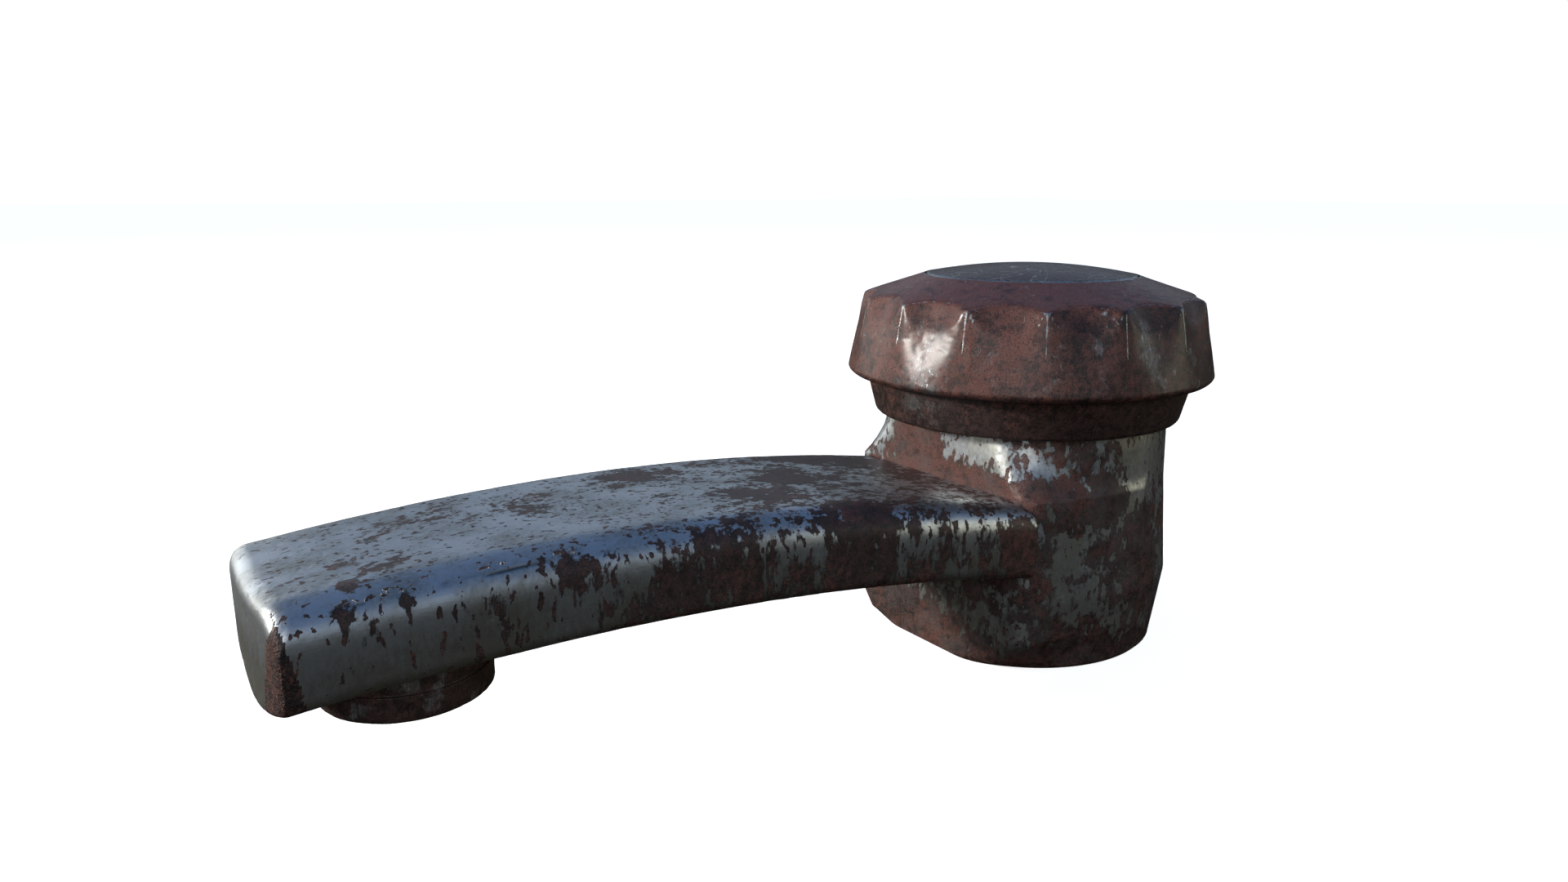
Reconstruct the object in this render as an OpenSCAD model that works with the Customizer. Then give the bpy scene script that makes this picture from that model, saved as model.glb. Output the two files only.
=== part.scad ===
// Low pillar tap with a fixed spout: a squat round body with a flat front pad, a flat arched
// spout, a round outlet, a bell shroud, and a fluted knob on a non-rising screw-down valve.
// Units are millimetres. The origin is the centre of the base, on the body's axis.
// +Z points up and the spout points along -Y.

/* [Body] */
// Radius of the body at the base
base_r = 24.6; // [24.2:0.1:25]
// Radius of the body at its lower flare
flare_r = 26.3; // [25.8:0.1:26.6]
// Height of the lower flare
flare_z = 13; // [11:0.5:15]
// Radius of the body at its waist
waist_r = 25.1; // [24.9:0.1:25.4]
// Height of the waist
waist_z = 29.6; // [28:0.2:31]
// Radius of the neck that the shroud covers
neck_r = 24.9; // [24.7:0.05:24.95]
// Height of the body casting
body_h = 41; // [41:0.1:41.4]
// Half width of the flat pad that the spout is joined to
pad_half_w = 22.4; // [22:0.1:23]
// Distance of the pad's face from the axis, at the base
pad_base_s = 22.2; // [22:0.1:22.6]
// Distance of the pad's face from the axis, at the spout's top
pad_top_s = 20.6; // [20.2:0.1:21]

/* [Spout] */
// Distance from the axis to the middle of the spout's end face
spout_reach = 130.4; // [126:0.2:134]
// Height of the highest point of the spout
spout_crown_z = 37.1; // [36.6:0.1:37.6]
// Distance from the axis to the spout's highest point
spout_crown_s = 93; // [90:0.5:96]
// How flat the arch is: the distance along the spout that drops it by 1, then 4, then 9
spout_arch = 27.8; // [27:0.2:29]
// Half width of the spout at the pad
spout_root_w = 22.3; // [21.8:0.1:22.4]
// Half width of the spout at its end
spout_tip_w = 15.7; // [15:0.1:16.5]
// Height of the spout's straight sides
spout_side_h = 12.3; // [12:0.1:12.8]
// How far the underside bellies down between the sides
spout_belly = 2.7; // [2:0.1:3]
// Rounding of the spout's top edges
spout_edge_r = 3.2; // [2.4:0.1:3.6]

/* [Outlet] */
// Distance from the axis to the centre of the outlet
outlet_s = 112.3; // [110:0.1:114]
// Outer radius of the outlet housing
outlet_r = 10.93; // [10.8:0.01:11]
// Height of the lower edge of the outlet
outlet_z = 16.6; // [16.2:0.1:16.8]

/* [Shroud] */
// Height of the shroud's lower edge
shroud_z = 40; // [39.8:0.1:40.2]
// Radius of the shroud's lower edge
shroud_low_r = 26.9; // [26.7:0.1:27.1]
// Radius of the shroud just under the knob
shroud_top_r = 28.5; // [28.3:0.1:28.6]

/* [Knob] */
// Height of the knob's lower edge
knob_z = 47.1; // [47:0.05:47.3]
// Radius of the knob's lower edge
knob_low_r = 32; // [31.8:0.1:32.4]
// Height of the knob's rim
rim_z = 60.8; // [60.4:0.1:61]
// Radius of the knob's rim, at the ridges between the flutes
rim_r = 29.6; // [29.4:0.1:29.8]
// Number of flutes round the knob
flutes = 15; // [13:1:16]
// Radius of each flute's cutter
flute_r = 14; // [12:0.5:18]
// Depth of each flute at the rim
flute_depth = 1.95; // [1.6:0.05:2.4]
// Radius of the round cap in the top of the knob
cap_r = 18.3; // [18:0.1:18.4]
// Height of the cap's edge
cap_edge_z = 64.5; // [64.3:0.1:64.6]
// Rise of the cap's dome
cap_rise = 1.8; // [1.2:0.1:2]

/* [Valve] */
// Lift of the valve per turn of the knob
pitch = 2.5; // [2:0.1:2.5]
// Turns of the knob from shut to fully open
turns = 1.5; // [1:0.1:1.5]
// Radius of the spindle's journal
spindle_r = 5; // [4.8:0.1:5]
// Width across the flats of the spindle's square
square_w = 8; // [7.6:0.1:8]

/* [Inlet and fixing] */
// Radius of the inlet hole, the core of a G1/2 thread
inlet_r = 9.3; // [9.2:0.05:9.4]
// Radius of the fixing hole, the core of an M8 thread
stud_r = 3.4; // [3.3:0.05:3.45]
// Distance from the axis to the fixing hole
stud_y = 15.6; // [15.4:0.1:15.8]

/* [Hidden] */
$fn = 96;

// Colours: bare worn steel, rust, and the brass, rubber and plastic inside
steel = [0.52, 0.55, 0.58];
rust = [0.34, 0.20, 0.16];
dark_rust = [0.26, 0.16, 0.13];
brass = [0.72, 0.58, 0.30];
rubber = [0.10, 0.10, 0.10];
plastic = [0.82, 0.83, 0.80];
bright = [0.70, 0.71, 0.72];

gap = 0.05;          // clearance between pieces that are fitted together
run_gap = 0.06;      // radial running clearance of the spindle
past = 1;            // how far a cutter runs past the face that it cuts

// Heights inside the body, from the base upwards
web_z = 13;          // top of the inlet hole
floor_z = 17;        // floor of the valve chamber
seat_z = 19;         // lip of the valve seat
seat_r = 8;          // valve seat in the web
chamber_r = 12;
thread_r = 13.2;     // headgear thread in the body
thread_z = 32;       // lower end of that thread
stud_depth = 12;

// Water way from the chamber into the spout
spigot_z = 23.2;
spigot_r = 5.5;
spigot_bore_r = 4.2;
spigot_in_s = 12.6;
spigot_out_s = 29;

// Outlet in the spout
outlet_neck_r = 10.6;
outlet_seat_z = 24.2;
outlet_way_r = 7.2;
outlet_neck_z = 20.2;  // top of the outer collar, clear of the spout's underside

// Headgear
guide_gap = 0.55;    // between the raised plunger's collar and the guide tube
guide_r = 10.5;
hex_z = 42;          // underside of the headgear's hexagon
hex_h = 5;
hex_r = 16.4;
neck_thread_r = 11;
headgear_top_z = 51.5;
guide_bore_r = 7.9;  // corners of the hexagonal guide
gland_bore_r = 7.8;
gland_bore_z = 42.3;

// Spindle and knob hub
flange_r = 7.4;
flange_z = 42.4;
flange_h = 2;
screw_end_r = 4;
screw_gap = 0.1;     // round the screw end in the plunger's bore
square_z = 52;
square_top_z = 58;
square_root = 0.3;   // how far the square runs into the journal, above the gland nut
hub_z = 52.2;
hub_r = 9;
knob_web_z = 58.2;
pocket_z = 59.8;
knob_screw_z = 50;   // lower end of the knob's screw
cap_seat_z = 63.03;

// Plunger and its washer
screw_r = 2;         // the washer's screw, and the knob's
washer_gap = 0.1;
washer_z = seat_z + washer_gap;
washer_h = 3;
plunger_z = washer_z + washer_h;
plunger_top_z = 35;
plunger_r = 7.6;
plunger_bore_z = 25.5;
collar_r = 8.2;
collar_h = 1.8;

// The plunger climbs this far from shut to fully open, and these ends leave room for it
lift = pitch * turns;
guide_z = plunger_z + collar_h + lift + guide_gap;
guide_top_z = plunger_top_z + lift + 0.25;
spindle_end_z = plunger_bore_z + lift + 0.35;

// Top of the spout at a distance s from the axis, and its half width there
function crown(s) = spout_crown_z - pow((s - spout_crown_s) / spout_arch, 2);
function half_w(s) = spout_root_w
    + (spout_tip_w - spout_root_w) * (s - pad_top_s) / (spout_reach - 1 - pad_top_s);

// Points [x, z] of an arc about a centre, from one angle to another
function arc(cx, cz, r, from, to, steps) =
    [for (i = [0 : steps]) let (a = from + (to - from) * i / steps) [cx + r * cos(a), cz + r * sin(a)]];

// Outline of the spout across its length: flat top, straight sides, bellied underside
function spout_outline(s) =
    let (
        w = half_w(s),
        top = crown(s),
        low = top - spout_side_h,
        corner = 1.4,
        inner = w - corner
    )
    concat(
        arc(-w + spout_edge_r, top - spout_edge_r, spout_edge_r, 180, 90, 5),
        arc(w - spout_edge_r, top - spout_edge_r, spout_edge_r, 90, 0, 5),
        arc(inner, low + corner, corner, 0, -75, 2),
        [for (i = [0 : 10]) let (x = inner * (0.9 - 0.18 * i))
            [x, low - spout_belly * (1 - pow(x / inner, 2))]],
        arc(-inner, low + corner, corner, -105, -180, 2)
    );

// Outline of the water way in the spout: a flat rounded slot
channel_wall = 4.5;
channel_top = 3.2;
channel_h = 7.2;
function channel_outline(s) =
    let (
        w = min(half_w(s) - channel_wall, 5 + (s - spigot_out_s) * 0.9),
        r = channel_h / 2,
        mid = crown(s) - channel_top - r
    )
    concat(arc(w - r, mid, r, 90, -90, 8), arc(-w + r, mid, r, 270, 90, 8));

// A solid swept along -Y through outlines of the same number of points
module sweep(stations, outlines) {
    count = len(outlines[0]);
    last = len(stations) - 1;
    points = [for (i = [0 : last]) for (p = outlines[i]) [p[0], -stations[i], p[1]]];
    sides = [for (i = [0 : last - 1]) for (j = [0 : count - 1])
        let (a = i * count + j, b = i * count + (j + 1) % count)
        each [[a, b, b + count], [a, b + count, a + count]]];
    near_end = [[for (j = [0 : count - 1]) count - 1 - j]];
    far_end = [[for (j = [0 : count - 1]) last * count + j]];
    polyhedron(points = points, faces = concat(sides, near_end, far_end), convexity = 4);
}

// A flat ring
module ring(outer, inner, z, h) {
    translate([0, 0, z])
        difference() {
            cylinder(r = outer, h = h);
            translate([0, 0, -past]) cylinder(r = inner, h = h + 2 * past);
        }
}

// A cylinder along -Y, from one distance to another
module rod_y(r, z, from_s, to_s) {
    translate([0, -from_s, z]) rotate([90, 0, 0]) cylinder(r = r, h = to_s - from_s);
}

// Everything behind the pad's sloping face
module behind_pad_face() {
    top_z = 60;
    slope = (pad_top_s - pad_base_s) / 30.4;
    wide = 80;
    translate([-wide / 2, 0, 0])
        rotate([90, 0, 90])
            linear_extrude(height = wide)
                polygon([
                    [-pad_base_s + slope * past, -past],
                    [40, -past],
                    [40, top_z],
                    [-pad_base_s - slope * top_z, top_z]
                ]);
}

// The pad: full width at the spout, narrowing to the round body above and below it
module pad_block() {
    shoulder_z = 30.4;
    shoulder_in = 13.4;
    skirt_z = 6.4;
    skirt_in = 17.4;
    foot_in = 11;
    depth = 30;
    rotate([90, 0, 0])
        linear_extrude(height = depth)
            polygon([
                [-foot_in, 0], [foot_in, 0],
                [skirt_in, 1.4], [pad_half_w, skirt_z],
                [pad_half_w, shoulder_z], [shoulder_in, 38.4],
                [-shoulder_in, 38.4], [-pad_half_w, shoulder_z],
                [-pad_half_w, skirt_z], [-skirt_in, 1.4]
            ]);
}

// Hollow underside round the inlet, with a solid boss round the fixing hole
module base_pocket() {
    outer = 18;
    inner = 12.6;
    depth = 11;
    boss_r = 6.2;
    difference() {
        ring(outer, inner, -past, depth + past);
        translate([0, stud_y, -2 * past]) cylinder(r = boss_r, h = depth + 4 * past);
    }
}

seal_in_r = 19.4;
seal_out_r = 21.2;
seal_h = 1.7;

module body() {
    color(rust)
        difference() {
            intersection() {
                union() {
                    rotate_extrude()
                        polygon([
                            [0, 0], [base_r - 0.6, 0], [base_r, 0.6], [flare_r, flare_z],
                            [waist_r, waist_z], [neck_r, 37.5], [neck_r - 0.2, body_h - 0.6],
                            [neck_r - 0.8, body_h], [0, body_h]
                        ]);
                    pad_block();
                }
                behind_pad_face();
            }
            translate([0, 0, -past]) cylinder(r = inlet_r, h = web_z + past);
            translate([0, 0, web_z - past])
                cylinder(r = seat_r + gap, h = floor_z - web_z + 2 * past);
            translate([0, 0, floor_z]) cylinder(r = chamber_r, h = body_h);
            translate([0, 0, thread_z]) cylinder(r = thread_r, h = body_h);
            rod_y(spigot_r + gap, spigot_z, 11, 30);
            translate([0, stud_y, -past]) cylinder(r = stud_r, h = stud_depth + past);
            base_pocket();
            ring(seal_out_r + gap, seal_in_r - gap, -past, seal_h + gap + past);
        }
}

module spout() {
    root_s = 17;           // inside the body, before the pad's face trims it
    steps = 18;
    stations = [for (i = [0 : steps]) root_s + (spout_reach + 1 - root_s) * i / steps];
    water_steps = 9;
    water_end = outlet_s + 7.5;
    water = [for (i = [0 : water_steps])
        spigot_out_s - 0.5 + (water_end - spigot_out_s + 0.5) * i / water_steps];
    end_bow_r = 124;
    color(steel)
        difference() {
            intersection() {
                sweep(stations, [for (s = stations) spout_outline(s)]);
                translate([0, end_bow_r - spout_reach, -past]) cylinder(r = end_bow_r, h = 60, $fn = 240);
            }
            behind_pad_face();
            sweep(water, [for (s = water) channel_outline(s)]);
            rod_y(spigot_r + gap, spigot_z, 10, spigot_out_s);
            translate([0, -outlet_s, outlet_z])
                cylinder(r = outlet_neck_r + gap, h = outlet_seat_z - outlet_z);
            translate([0, -outlet_s, outlet_z]) cylinder(r = outlet_way_r, h = 14);
        }
}

module spout_spigot() {
    color(brass)
        difference() {
            rod_y(spigot_r, spigot_z, spigot_in_s, spigot_out_s - 0.3);
            rod_y(spigot_bore_r, spigot_z, spigot_in_s - past, spigot_out_s + past);
        }
}

module outlet_housing() {
    bore_r = 8.7;
    lip_r = 7.6;
    lip_h = 0.7;
    top_z = outlet_seat_z - 0.1;
    color(dark_rust)
        translate([0, -outlet_s, 0])
            rotate_extrude()
                polygon([
                    [lip_r, outlet_z], [outlet_r - 0.4, outlet_z], [outlet_r, outlet_z + 0.4],
                    [outlet_r, outlet_neck_z], [outlet_neck_r, outlet_neck_z],
                    [outlet_neck_r, top_z], [bore_r, top_z],
                    [bore_r, outlet_z + lip_h], [lip_r, outlet_z + lip_h]
                ]);
}

module aerator_washer() {
    color(rubber) translate([0, -outlet_s, 0]) ring(8.6, 6.2, 22.9, 1.1);
}

// A circle of small upright holes
module water_holes(count, circle_r, r) {
    for (i = [0 : count - 1])
        rotate([0, 0, i * 360 / count]) translate([circle_r, 0, 17]) cylinder(r = r, h = 8, $fn = 24);
}

module aerator_insert() {
    holes = 12;
    color(plastic)
        translate([0, -outlet_s, 0])
            difference() {
                translate([0, 0, 18]) cylinder(r = 8.6, h = 4.8);
                water_holes(holes, 5.8, 0.9);
                water_holes(holes / 2, 2.9, 0.8);
            }
}

module aerator_screen() {
    wires = 3;
    spacing = 2.1;
    wire_w = 0.5;
    color(bright)
        translate([0, -outlet_s, outlet_z + 0.8])
            union() {
                ring(8.5, 7.4, 0, 0.5);
                intersection() {
                    translate([0, 0, 0.05]) cylinder(r = 7.8, h = 0.4);
                    union() {
                        for (i = [-wires : wires]) {
                            translate([i * spacing - wire_w / 2, -8, 0]) cube([wire_w, 16, 0.5]);
                            translate([-8, i * spacing - wire_w / 2, 0]) cube([16, wire_w, 0.5]);
                        }
                    }
                }
            }
}

module base_seal() {
    color(rubber) ring(seal_out_r, seal_in_r, 0, seal_h);
}

module valve_seat() {
    color(brass)
        rotate_extrude()
            polygon([
                [5.5, web_z + 0.2], [seat_r, web_z + 0.2], [seat_r, floor_z], [9.8, floor_z],
                [9.8, floor_z + 1], [6.9, floor_z + 1], [6.5, seat_z], [5.5, seat_z]
            ]);
}

module headgear_body() {
    color(brass)
        difference() {
            union() {
                translate([0, 0, guide_z]) cylinder(r = guide_r, h = 10);
                translate([0, 0, thread_z + 0.4]) cylinder(r = thread_r - gap, h = hex_z - thread_z);
                translate([0, 0, hex_z]) cylinder(r = hex_r, h = hex_h, $fn = 6);
                translate([0, 0, hex_z + 1]) cylinder(r = neck_thread_r, h = headgear_top_z - hex_z - 1);
            }
            translate([0, 0, guide_z - past])
                cylinder(r = guide_bore_r, h = guide_top_z - guide_z + past, $fn = 6);
            translate([0, 0, guide_top_z - past]) cylinder(r = spindle_r + run_gap, h = 10);
            translate([0, 0, gland_bore_z]) cylinder(r = gland_bore_r, h = 20);
        }
}

module headgear_seal() {
    color(rubber) ring(17, thread_r + 0.1, body_h + 0.02, hex_z - body_h - 0.04);
}

module thrust_washer() {
    color(plastic) ring(gland_bore_r - 0.1, spindle_r + 0.1, flange_z + flange_h + 0.1, 0.9);
}

module gland_nut() {
    low_z = flange_z + flange_h + 1.05;
    color(brass)
        difference() {
            ring(gland_bore_r - gap, spindle_r + run_gap, low_z, headgear_top_z - low_z);
            for (side = [-1, 1])
                translate([side * 6.5, 0, headgear_top_z - 1.5]) cylinder(r = 0.7, h = 3, $fn = 24);
        }
}

module bonnet_shroud() {
    wall = 1.9;
    web_low = hex_z + hex_h + 0.05;
    web_high = web_low + 1.4;
    rim_top = 49.9;
    rim_out = 28.2;
    color(dark_rust)
        rotate_extrude()
            polygon([
                [shroud_low_r - 1.2, shroud_z], [shroud_low_r - 0.4, shroud_z],
                [shroud_low_r, shroud_z + 0.4], [shroud_top_r, knob_z - 0.3],
                [rim_out, knob_z + 0.1], [rim_out, rim_top], [rim_out - 1.4, rim_top],
                [rim_out - 1.4, web_high], [neck_thread_r + 0.1, web_high],
                [neck_thread_r + 0.1, web_low], [shroud_top_r - wall, web_low],
                [shroud_low_r - 1.2, shroud_z + 1.8]
            ]);
}

module shroud_locknut() {
    low_z = hex_z + hex_h + 1.5;
    color(brass)
        difference() {
            translate([0, 0, low_z]) cylinder(r = 15.2, h = headgear_top_z - low_z - 0.1, $fn = 6);
            translate([0, 0, low_z - past]) cylinder(r = neck_thread_r + gap, h = 10);
        }
}

module valve_plunger() {
    color(brass)
        difference() {
            union() {
                translate([0, 0, plunger_z + 1])
                    cylinder(r = plunger_r, h = plunger_top_z - plunger_z - 1, $fn = 6);
                translate([0, 0, plunger_z]) cylinder(r = collar_r, h = collar_h);
            }
            translate([0, 0, plunger_bore_z]) cylinder(r = screw_end_r + screw_gap, h = 20);
            translate([0, 0, plunger_z - past]) cylinder(r = screw_r + gap, h = 2.8 + past);
        }
}

module valve_washer() {
    color(rubber) ring(7.8, screw_r + gap, washer_z, washer_h - 0.02);
}

module washer_screw() {
    head_h = 1.7;
    color(brass)
        difference() {
            union() {
                translate([0, 0, washer_z - 0.02 - head_h]) cylinder(r = 3.6, h = head_h);
                translate([0, 0, washer_z - 0.1]) cylinder(r = screw_r, h = washer_h + 2.7);
            }
            translate([-5, -0.5, washer_z - head_h - past]) cube([10, 1, 0.8 + past]);
        }
}

module o_ring(z) {
    rotate_extrude() translate([spindle_r - 0.66, z]) circle(r = 0.7, $fn = 32);
}

o_ring_levels = [47.4, 49.6];

module spindle() {
    color(brass)
        difference() {
            union() {
                translate([0, 0, spindle_end_z])
                    cylinder(r = screw_end_r, h = guide_top_z - spindle_end_z + 1);
                translate([0, 0, guide_top_z]) cylinder(r = spindle_r, h = square_z - guide_top_z);
                translate([0, 0, flange_z]) cylinder(r = flange_r, h = flange_h);
                translate([-square_w / 2, -square_w / 2, square_z - square_root])
                    cube([square_w, square_w, square_top_z - square_z + square_root]);
            }
            translate([0, 0, knob_screw_z - past]) cylinder(r = screw_r + gap, h = 12);
            for (z = o_ring_levels)
                ring(spindle_r + past, spindle_r - 1.4, z - 0.8, 1.6);
        }
}

module spindle_o_rings() {
    color(rubber)
        for (z = o_ring_levels)
            o_ring(z);
}

// One flute's cutter: deepest at the rim, and running out half way down the knob's side
module flute_cutter() {
    lean = 0.46;         // how far the flute's floor leans in for each unit of height
    tilt = atan(lean);
    below_rim = 20;
    translate([rim_r - flute_depth + flute_r / cos(tilt), 0, rim_z])
        rotate([0, -tilt, 0])
            translate([0, 0, -below_rim])
                cylinder(r = flute_r, h = 2 * below_rim);
}

module knob() {
    chamfer = 0.7;
    recess_r = 29.1;       // clear of the shroud's upstand
    recess_z = 50.9;
    cavity_z = 57;
    seat_r = cap_r + 0.3;
    seat_z = cap_seat_z - 0.03;
    pocket_r = 6;
    color(rust)
        difference() {
            rotate_extrude()
                polygon([
                    [recess_r, knob_z], [knob_low_r - chamfer, knob_z], [knob_low_r, knob_z + chamfer],
                    [rim_r, rim_z], [seat_r, cap_edge_z - 0.04], [seat_r, seat_z],
                    [pocket_r, seat_z], [pocket_r, pocket_z], [0, pocket_z],
                    [0, hub_z], [hub_r, hub_z], [hub_r + 0.6, cavity_z], [22.8, cavity_z],
                    [23.6, recess_z], [recess_r, recess_z]
                ]);
            for (i = [0 : flutes - 1])
                rotate([0, 0, -90 + (i + 0.5) * 360 / flutes]) flute_cutter();
            translate([-square_w / 2 - gap, -square_w / 2 - gap, hub_z - past])
                cube([square_w + 2 * gap, square_w + 2 * gap, knob_web_z - hub_z + past]);
            translate([0, 0, knob_screw_z]) cylinder(r = 2.3, h = 20);
        }
}

module knob_screw() {
    head_z = pocket_z + 0.85;
    color(bright)
        difference() {
            union() {
                translate([0, 0, head_z]) cylinder(r = 3.8, h = 2);
                translate([0, 0, knob_screw_z]) cylinder(r = screw_r, h = head_z - knob_screw_z + 0.1);
            }
            translate([-5, -0.5, head_z + 1.1]) cube([10, 1, 2]);
        }
}

module knob_screw_washer() {
    color(bright) ring(5.4, screw_r + gap, pocket_z + 0.02, 0.8);
}

module knob_cap() {
    dome_r = (pow(cap_r, 2) + pow(cap_rise, 2)) / (2 * cap_rise);
    color(rust)
        intersection() {
            translate([0, 0, cap_edge_z + cap_rise - dome_r]) sphere(r = dome_r, $fn = 240);
            translate([0, 0, cap_seat_z]) cylinder(r = cap_r, h = 10);
        }
}

body();
spout();
spout_spigot();
outlet_housing();
aerator_washer();
aerator_insert();
aerator_screen();
base_seal();
valve_seat();
headgear_body();
headgear_seal();
thrust_washer();
gland_nut();
bonnet_shroud();
shroud_locknut();
valve_plunger();
valve_washer();
washer_screw();
spindle();
spindle_o_rings();
knob();
knob_screw();
knob_screw_washer();
knob_cap();
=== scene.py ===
"""Looks of a low pillar tap in worn steel and rust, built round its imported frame.

The body, spout, outlet, shroud, knob and cap are fine meshes made here. The valve, seals and
screws inside are the frame's own nodes with procedural finishes. Lengths in the shape code are
in millimetres, and each mesh is scaled to metres when it is made.
"""

import math

import bmesh
import bpy
import numpy as np
from bpy.props import FloatProperty, FloatVectorProperty, IntProperty, PointerProperty
from mathutils import Matrix, Vector, noise


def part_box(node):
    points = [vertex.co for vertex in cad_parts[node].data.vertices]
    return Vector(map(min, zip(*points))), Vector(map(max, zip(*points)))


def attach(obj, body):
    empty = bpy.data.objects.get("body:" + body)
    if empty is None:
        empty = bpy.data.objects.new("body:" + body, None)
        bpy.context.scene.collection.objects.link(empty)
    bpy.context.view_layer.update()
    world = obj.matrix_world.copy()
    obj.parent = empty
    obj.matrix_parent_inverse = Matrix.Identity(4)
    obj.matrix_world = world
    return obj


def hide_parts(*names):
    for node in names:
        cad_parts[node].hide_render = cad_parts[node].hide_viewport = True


bl_info = {
    "name": "Worn pillar tap",
    "version": (1, 0, 0),
    "blender": (4, 5, 0),
    "location": "View3D > Sidebar > Tap",
    "description": "Builds the rusted body, spout, outlet, shroud and fluted knob of a low tap",
    "category": "Object",
}

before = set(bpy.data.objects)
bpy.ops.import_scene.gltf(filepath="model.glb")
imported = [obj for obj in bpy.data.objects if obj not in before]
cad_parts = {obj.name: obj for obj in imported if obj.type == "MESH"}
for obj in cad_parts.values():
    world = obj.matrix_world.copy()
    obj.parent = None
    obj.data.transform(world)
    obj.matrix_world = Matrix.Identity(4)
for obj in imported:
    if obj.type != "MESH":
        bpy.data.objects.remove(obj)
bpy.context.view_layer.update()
MM = 0.001


def box_mm(node):
    """Lowest and highest corners of a frame node, in millimetres."""
    low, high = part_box(node)
    return np.array(low) / MM, np.array(high) / MM


def chosen(name):
    """One of the lengths that a user may change, in millimetres."""
    return getattr(bpy.context.scene.tap_sizes, name) / MM


# ---------------------------------------------------------------- user values

def length(name, description, default, low, high):
    """A length in metres that a user may change."""
    return FloatProperty(
        name=name, description=description, default=default * MM, min=low * MM, max=high * MM,
        unit="LENGTH", subtype="DISTANCE", precision=5,
    )


def colour(name, description, default):
    """A colour that a user may change."""
    return FloatVectorProperty(
        name=name, description=description, default=default, size=3, min=0.0, max=1.0,
        subtype="COLOR",
    )


def share(name, description, default):
    """A plain share from 0 to 1."""
    return FloatProperty(
        name=name, description=description, default=default, min=0.0, max=1.0, subtype="FACTOR",
    )


class TapSizes(bpy.types.PropertyGroup):
    """Sizes of the rounding, flutes and mesh."""
    flute_count: IntProperty(
        name="Flutes", description="Flutes round the knob", default=15, min=8, max=24,
    )
    flute_cutter: length("Flute cutter", "Radius of the cutter that makes a flute", 14, 12, 18)
    ridge_round: length("Ridge rounding", "Rounding of the ridges between flutes", 0.35, 0.1, 1)
    rim_round: length("Rim rounding", "Rounding of the knob's rim", 0.5, 0.1, 1.5)
    spout_round: length("Spout edge", "Rounding of the spout's long top edges", 5.4, 1, 8)
    corner_round: length("Spout corner", "Rounding of the spout's end edges", 1.0, 0.3, 2)
    pad_blend: length("Pad blend", "Blend between the round body and its front pad", 5.5, 0.5, 8)
    mesh_step: length("Mesh step", "Length of a mesh face on the outer surfaces", 0.42, 0.3, 2)
    pitting: length("Pitting", "Depth of the dents and pits in the castings", 0.09, 0, 0.3)


class TapFinish(bpy.types.PropertyGroup):
    """Colours and wear of the finishes."""
    steel: colour("Bare steel", "Worn bare steel", (0.44, 0.475, 0.51))
    # The dull tone is also the painted shade, and the painted reflection of the dark ground, laid
    # down the spout's sides and the lower body.
    steel_dull: colour("Dull steel", "Stained steel between the bright parts", (0.20, 0.20, 0.175))
    rust_dark: colour("Dark rust", "Old rust in the hollows", (0.011, 0.0070, 0.0060))
    rust_body: colour("Rust", "Most of the rust", (0.060, 0.033, 0.028))
    rust_warm: colour("Fresh rust", "Fresh orange rust", (0.150, 0.058, 0.043))
    brass: colour("Brass", "Turned brass inside the tap", (0.62, 0.44, 0.17))
    rubber: colour("Rubber", "Seals and washers", (0.018, 0.018, 0.019))
    plastic: colour("Plastic", "Moulded inner pieces", (0.62, 0.62, 0.57))
    spout_rust: share("Rust on the spout", "How far rust has spread over the spout", 0.40)
    body_rust: share("Rust on the body", "How far rust has spread over the body", 0.62)


# ---------------------------------------------------------------- shape tools

def soft_max(a, b, blend):
    """The greater of two distances, rounded where they meet."""
    h = np.clip(0.5 + 0.5 * (a - b) / blend, 0, 1)
    return b + (a - b) * h + blend * h * (1 - h)


def soft_min(a, b, blend):
    """The lesser of two distances, rounded where they meet."""
    return -soft_max(-a, -b, blend)


def smooth(value, low, high):
    """0 below low, 1 above high, and an S-curve between."""
    t = np.clip((value - low) / (high - low), 0, 1)
    return t * t * (3 - 2 * t)


def leave(origins, directions, far, shape):
    """Where rays that start inside a shape leave it. shape() is below zero inside."""
    near = np.zeros(origins.shape[:-1])
    far = np.full(origins.shape[:-1], float(far))
    for _ in range(30):
        middle = (near + far) / 2
        inside = shape(origins + directions * middle[..., None]) < 0
        near = np.where(inside, middle, near)
        far = np.where(inside, far, middle)
    return origins + directions * near[..., None]


def turn(count):
    """Angles once round the axis, with the first one along the spout."""
    return np.radians(-90) + np.arange(count) * 2 * np.pi / count


def rings(profile, angles):
    """Rings of points for a profile of (radius, height) turned round the axis."""
    r, z = np.array(profile, float).T
    heights = np.repeat(z[:, None], len(angles), 1)
    return np.stack([r[:, None] * np.cos(angles), r[:, None] * np.sin(angles), heights], -1)


def steps(profile, size):
    """The same profile with extra points, so that none are further apart than size."""
    out = [profile[0]]
    for a, b in zip(profile, profile[1:]):
        count = max(1, math.ceil(math.dist(a, b) / size))
        out += [tuple(np.add(a, np.subtract(b, a) * k / count)) for k in range(1, count + 1)]
    return out


def rounded(profile, radius, count=4):
    """The same closed profile with each corner turned into a short arc."""
    out = []
    points = [np.array(p, float) for p in profile]
    for before, corner, after in zip(points[-1:] + points[:-1], points, points[1:] + points[:1]):
        one, two = before - corner, after - corner
        reach = min(radius, 0.45 * np.linalg.norm(one), 0.45 * np.linalg.norm(two))
        start = corner + one / np.linalg.norm(one) * reach
        end = corner + two / np.linalg.norm(two) * reach
        for k in range(count + 1):
            t = k / count
            out.append(tuple((1 - t) ** 2 * start + 2 * t * (1 - t) * corner + t * t * end))
    return out


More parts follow.
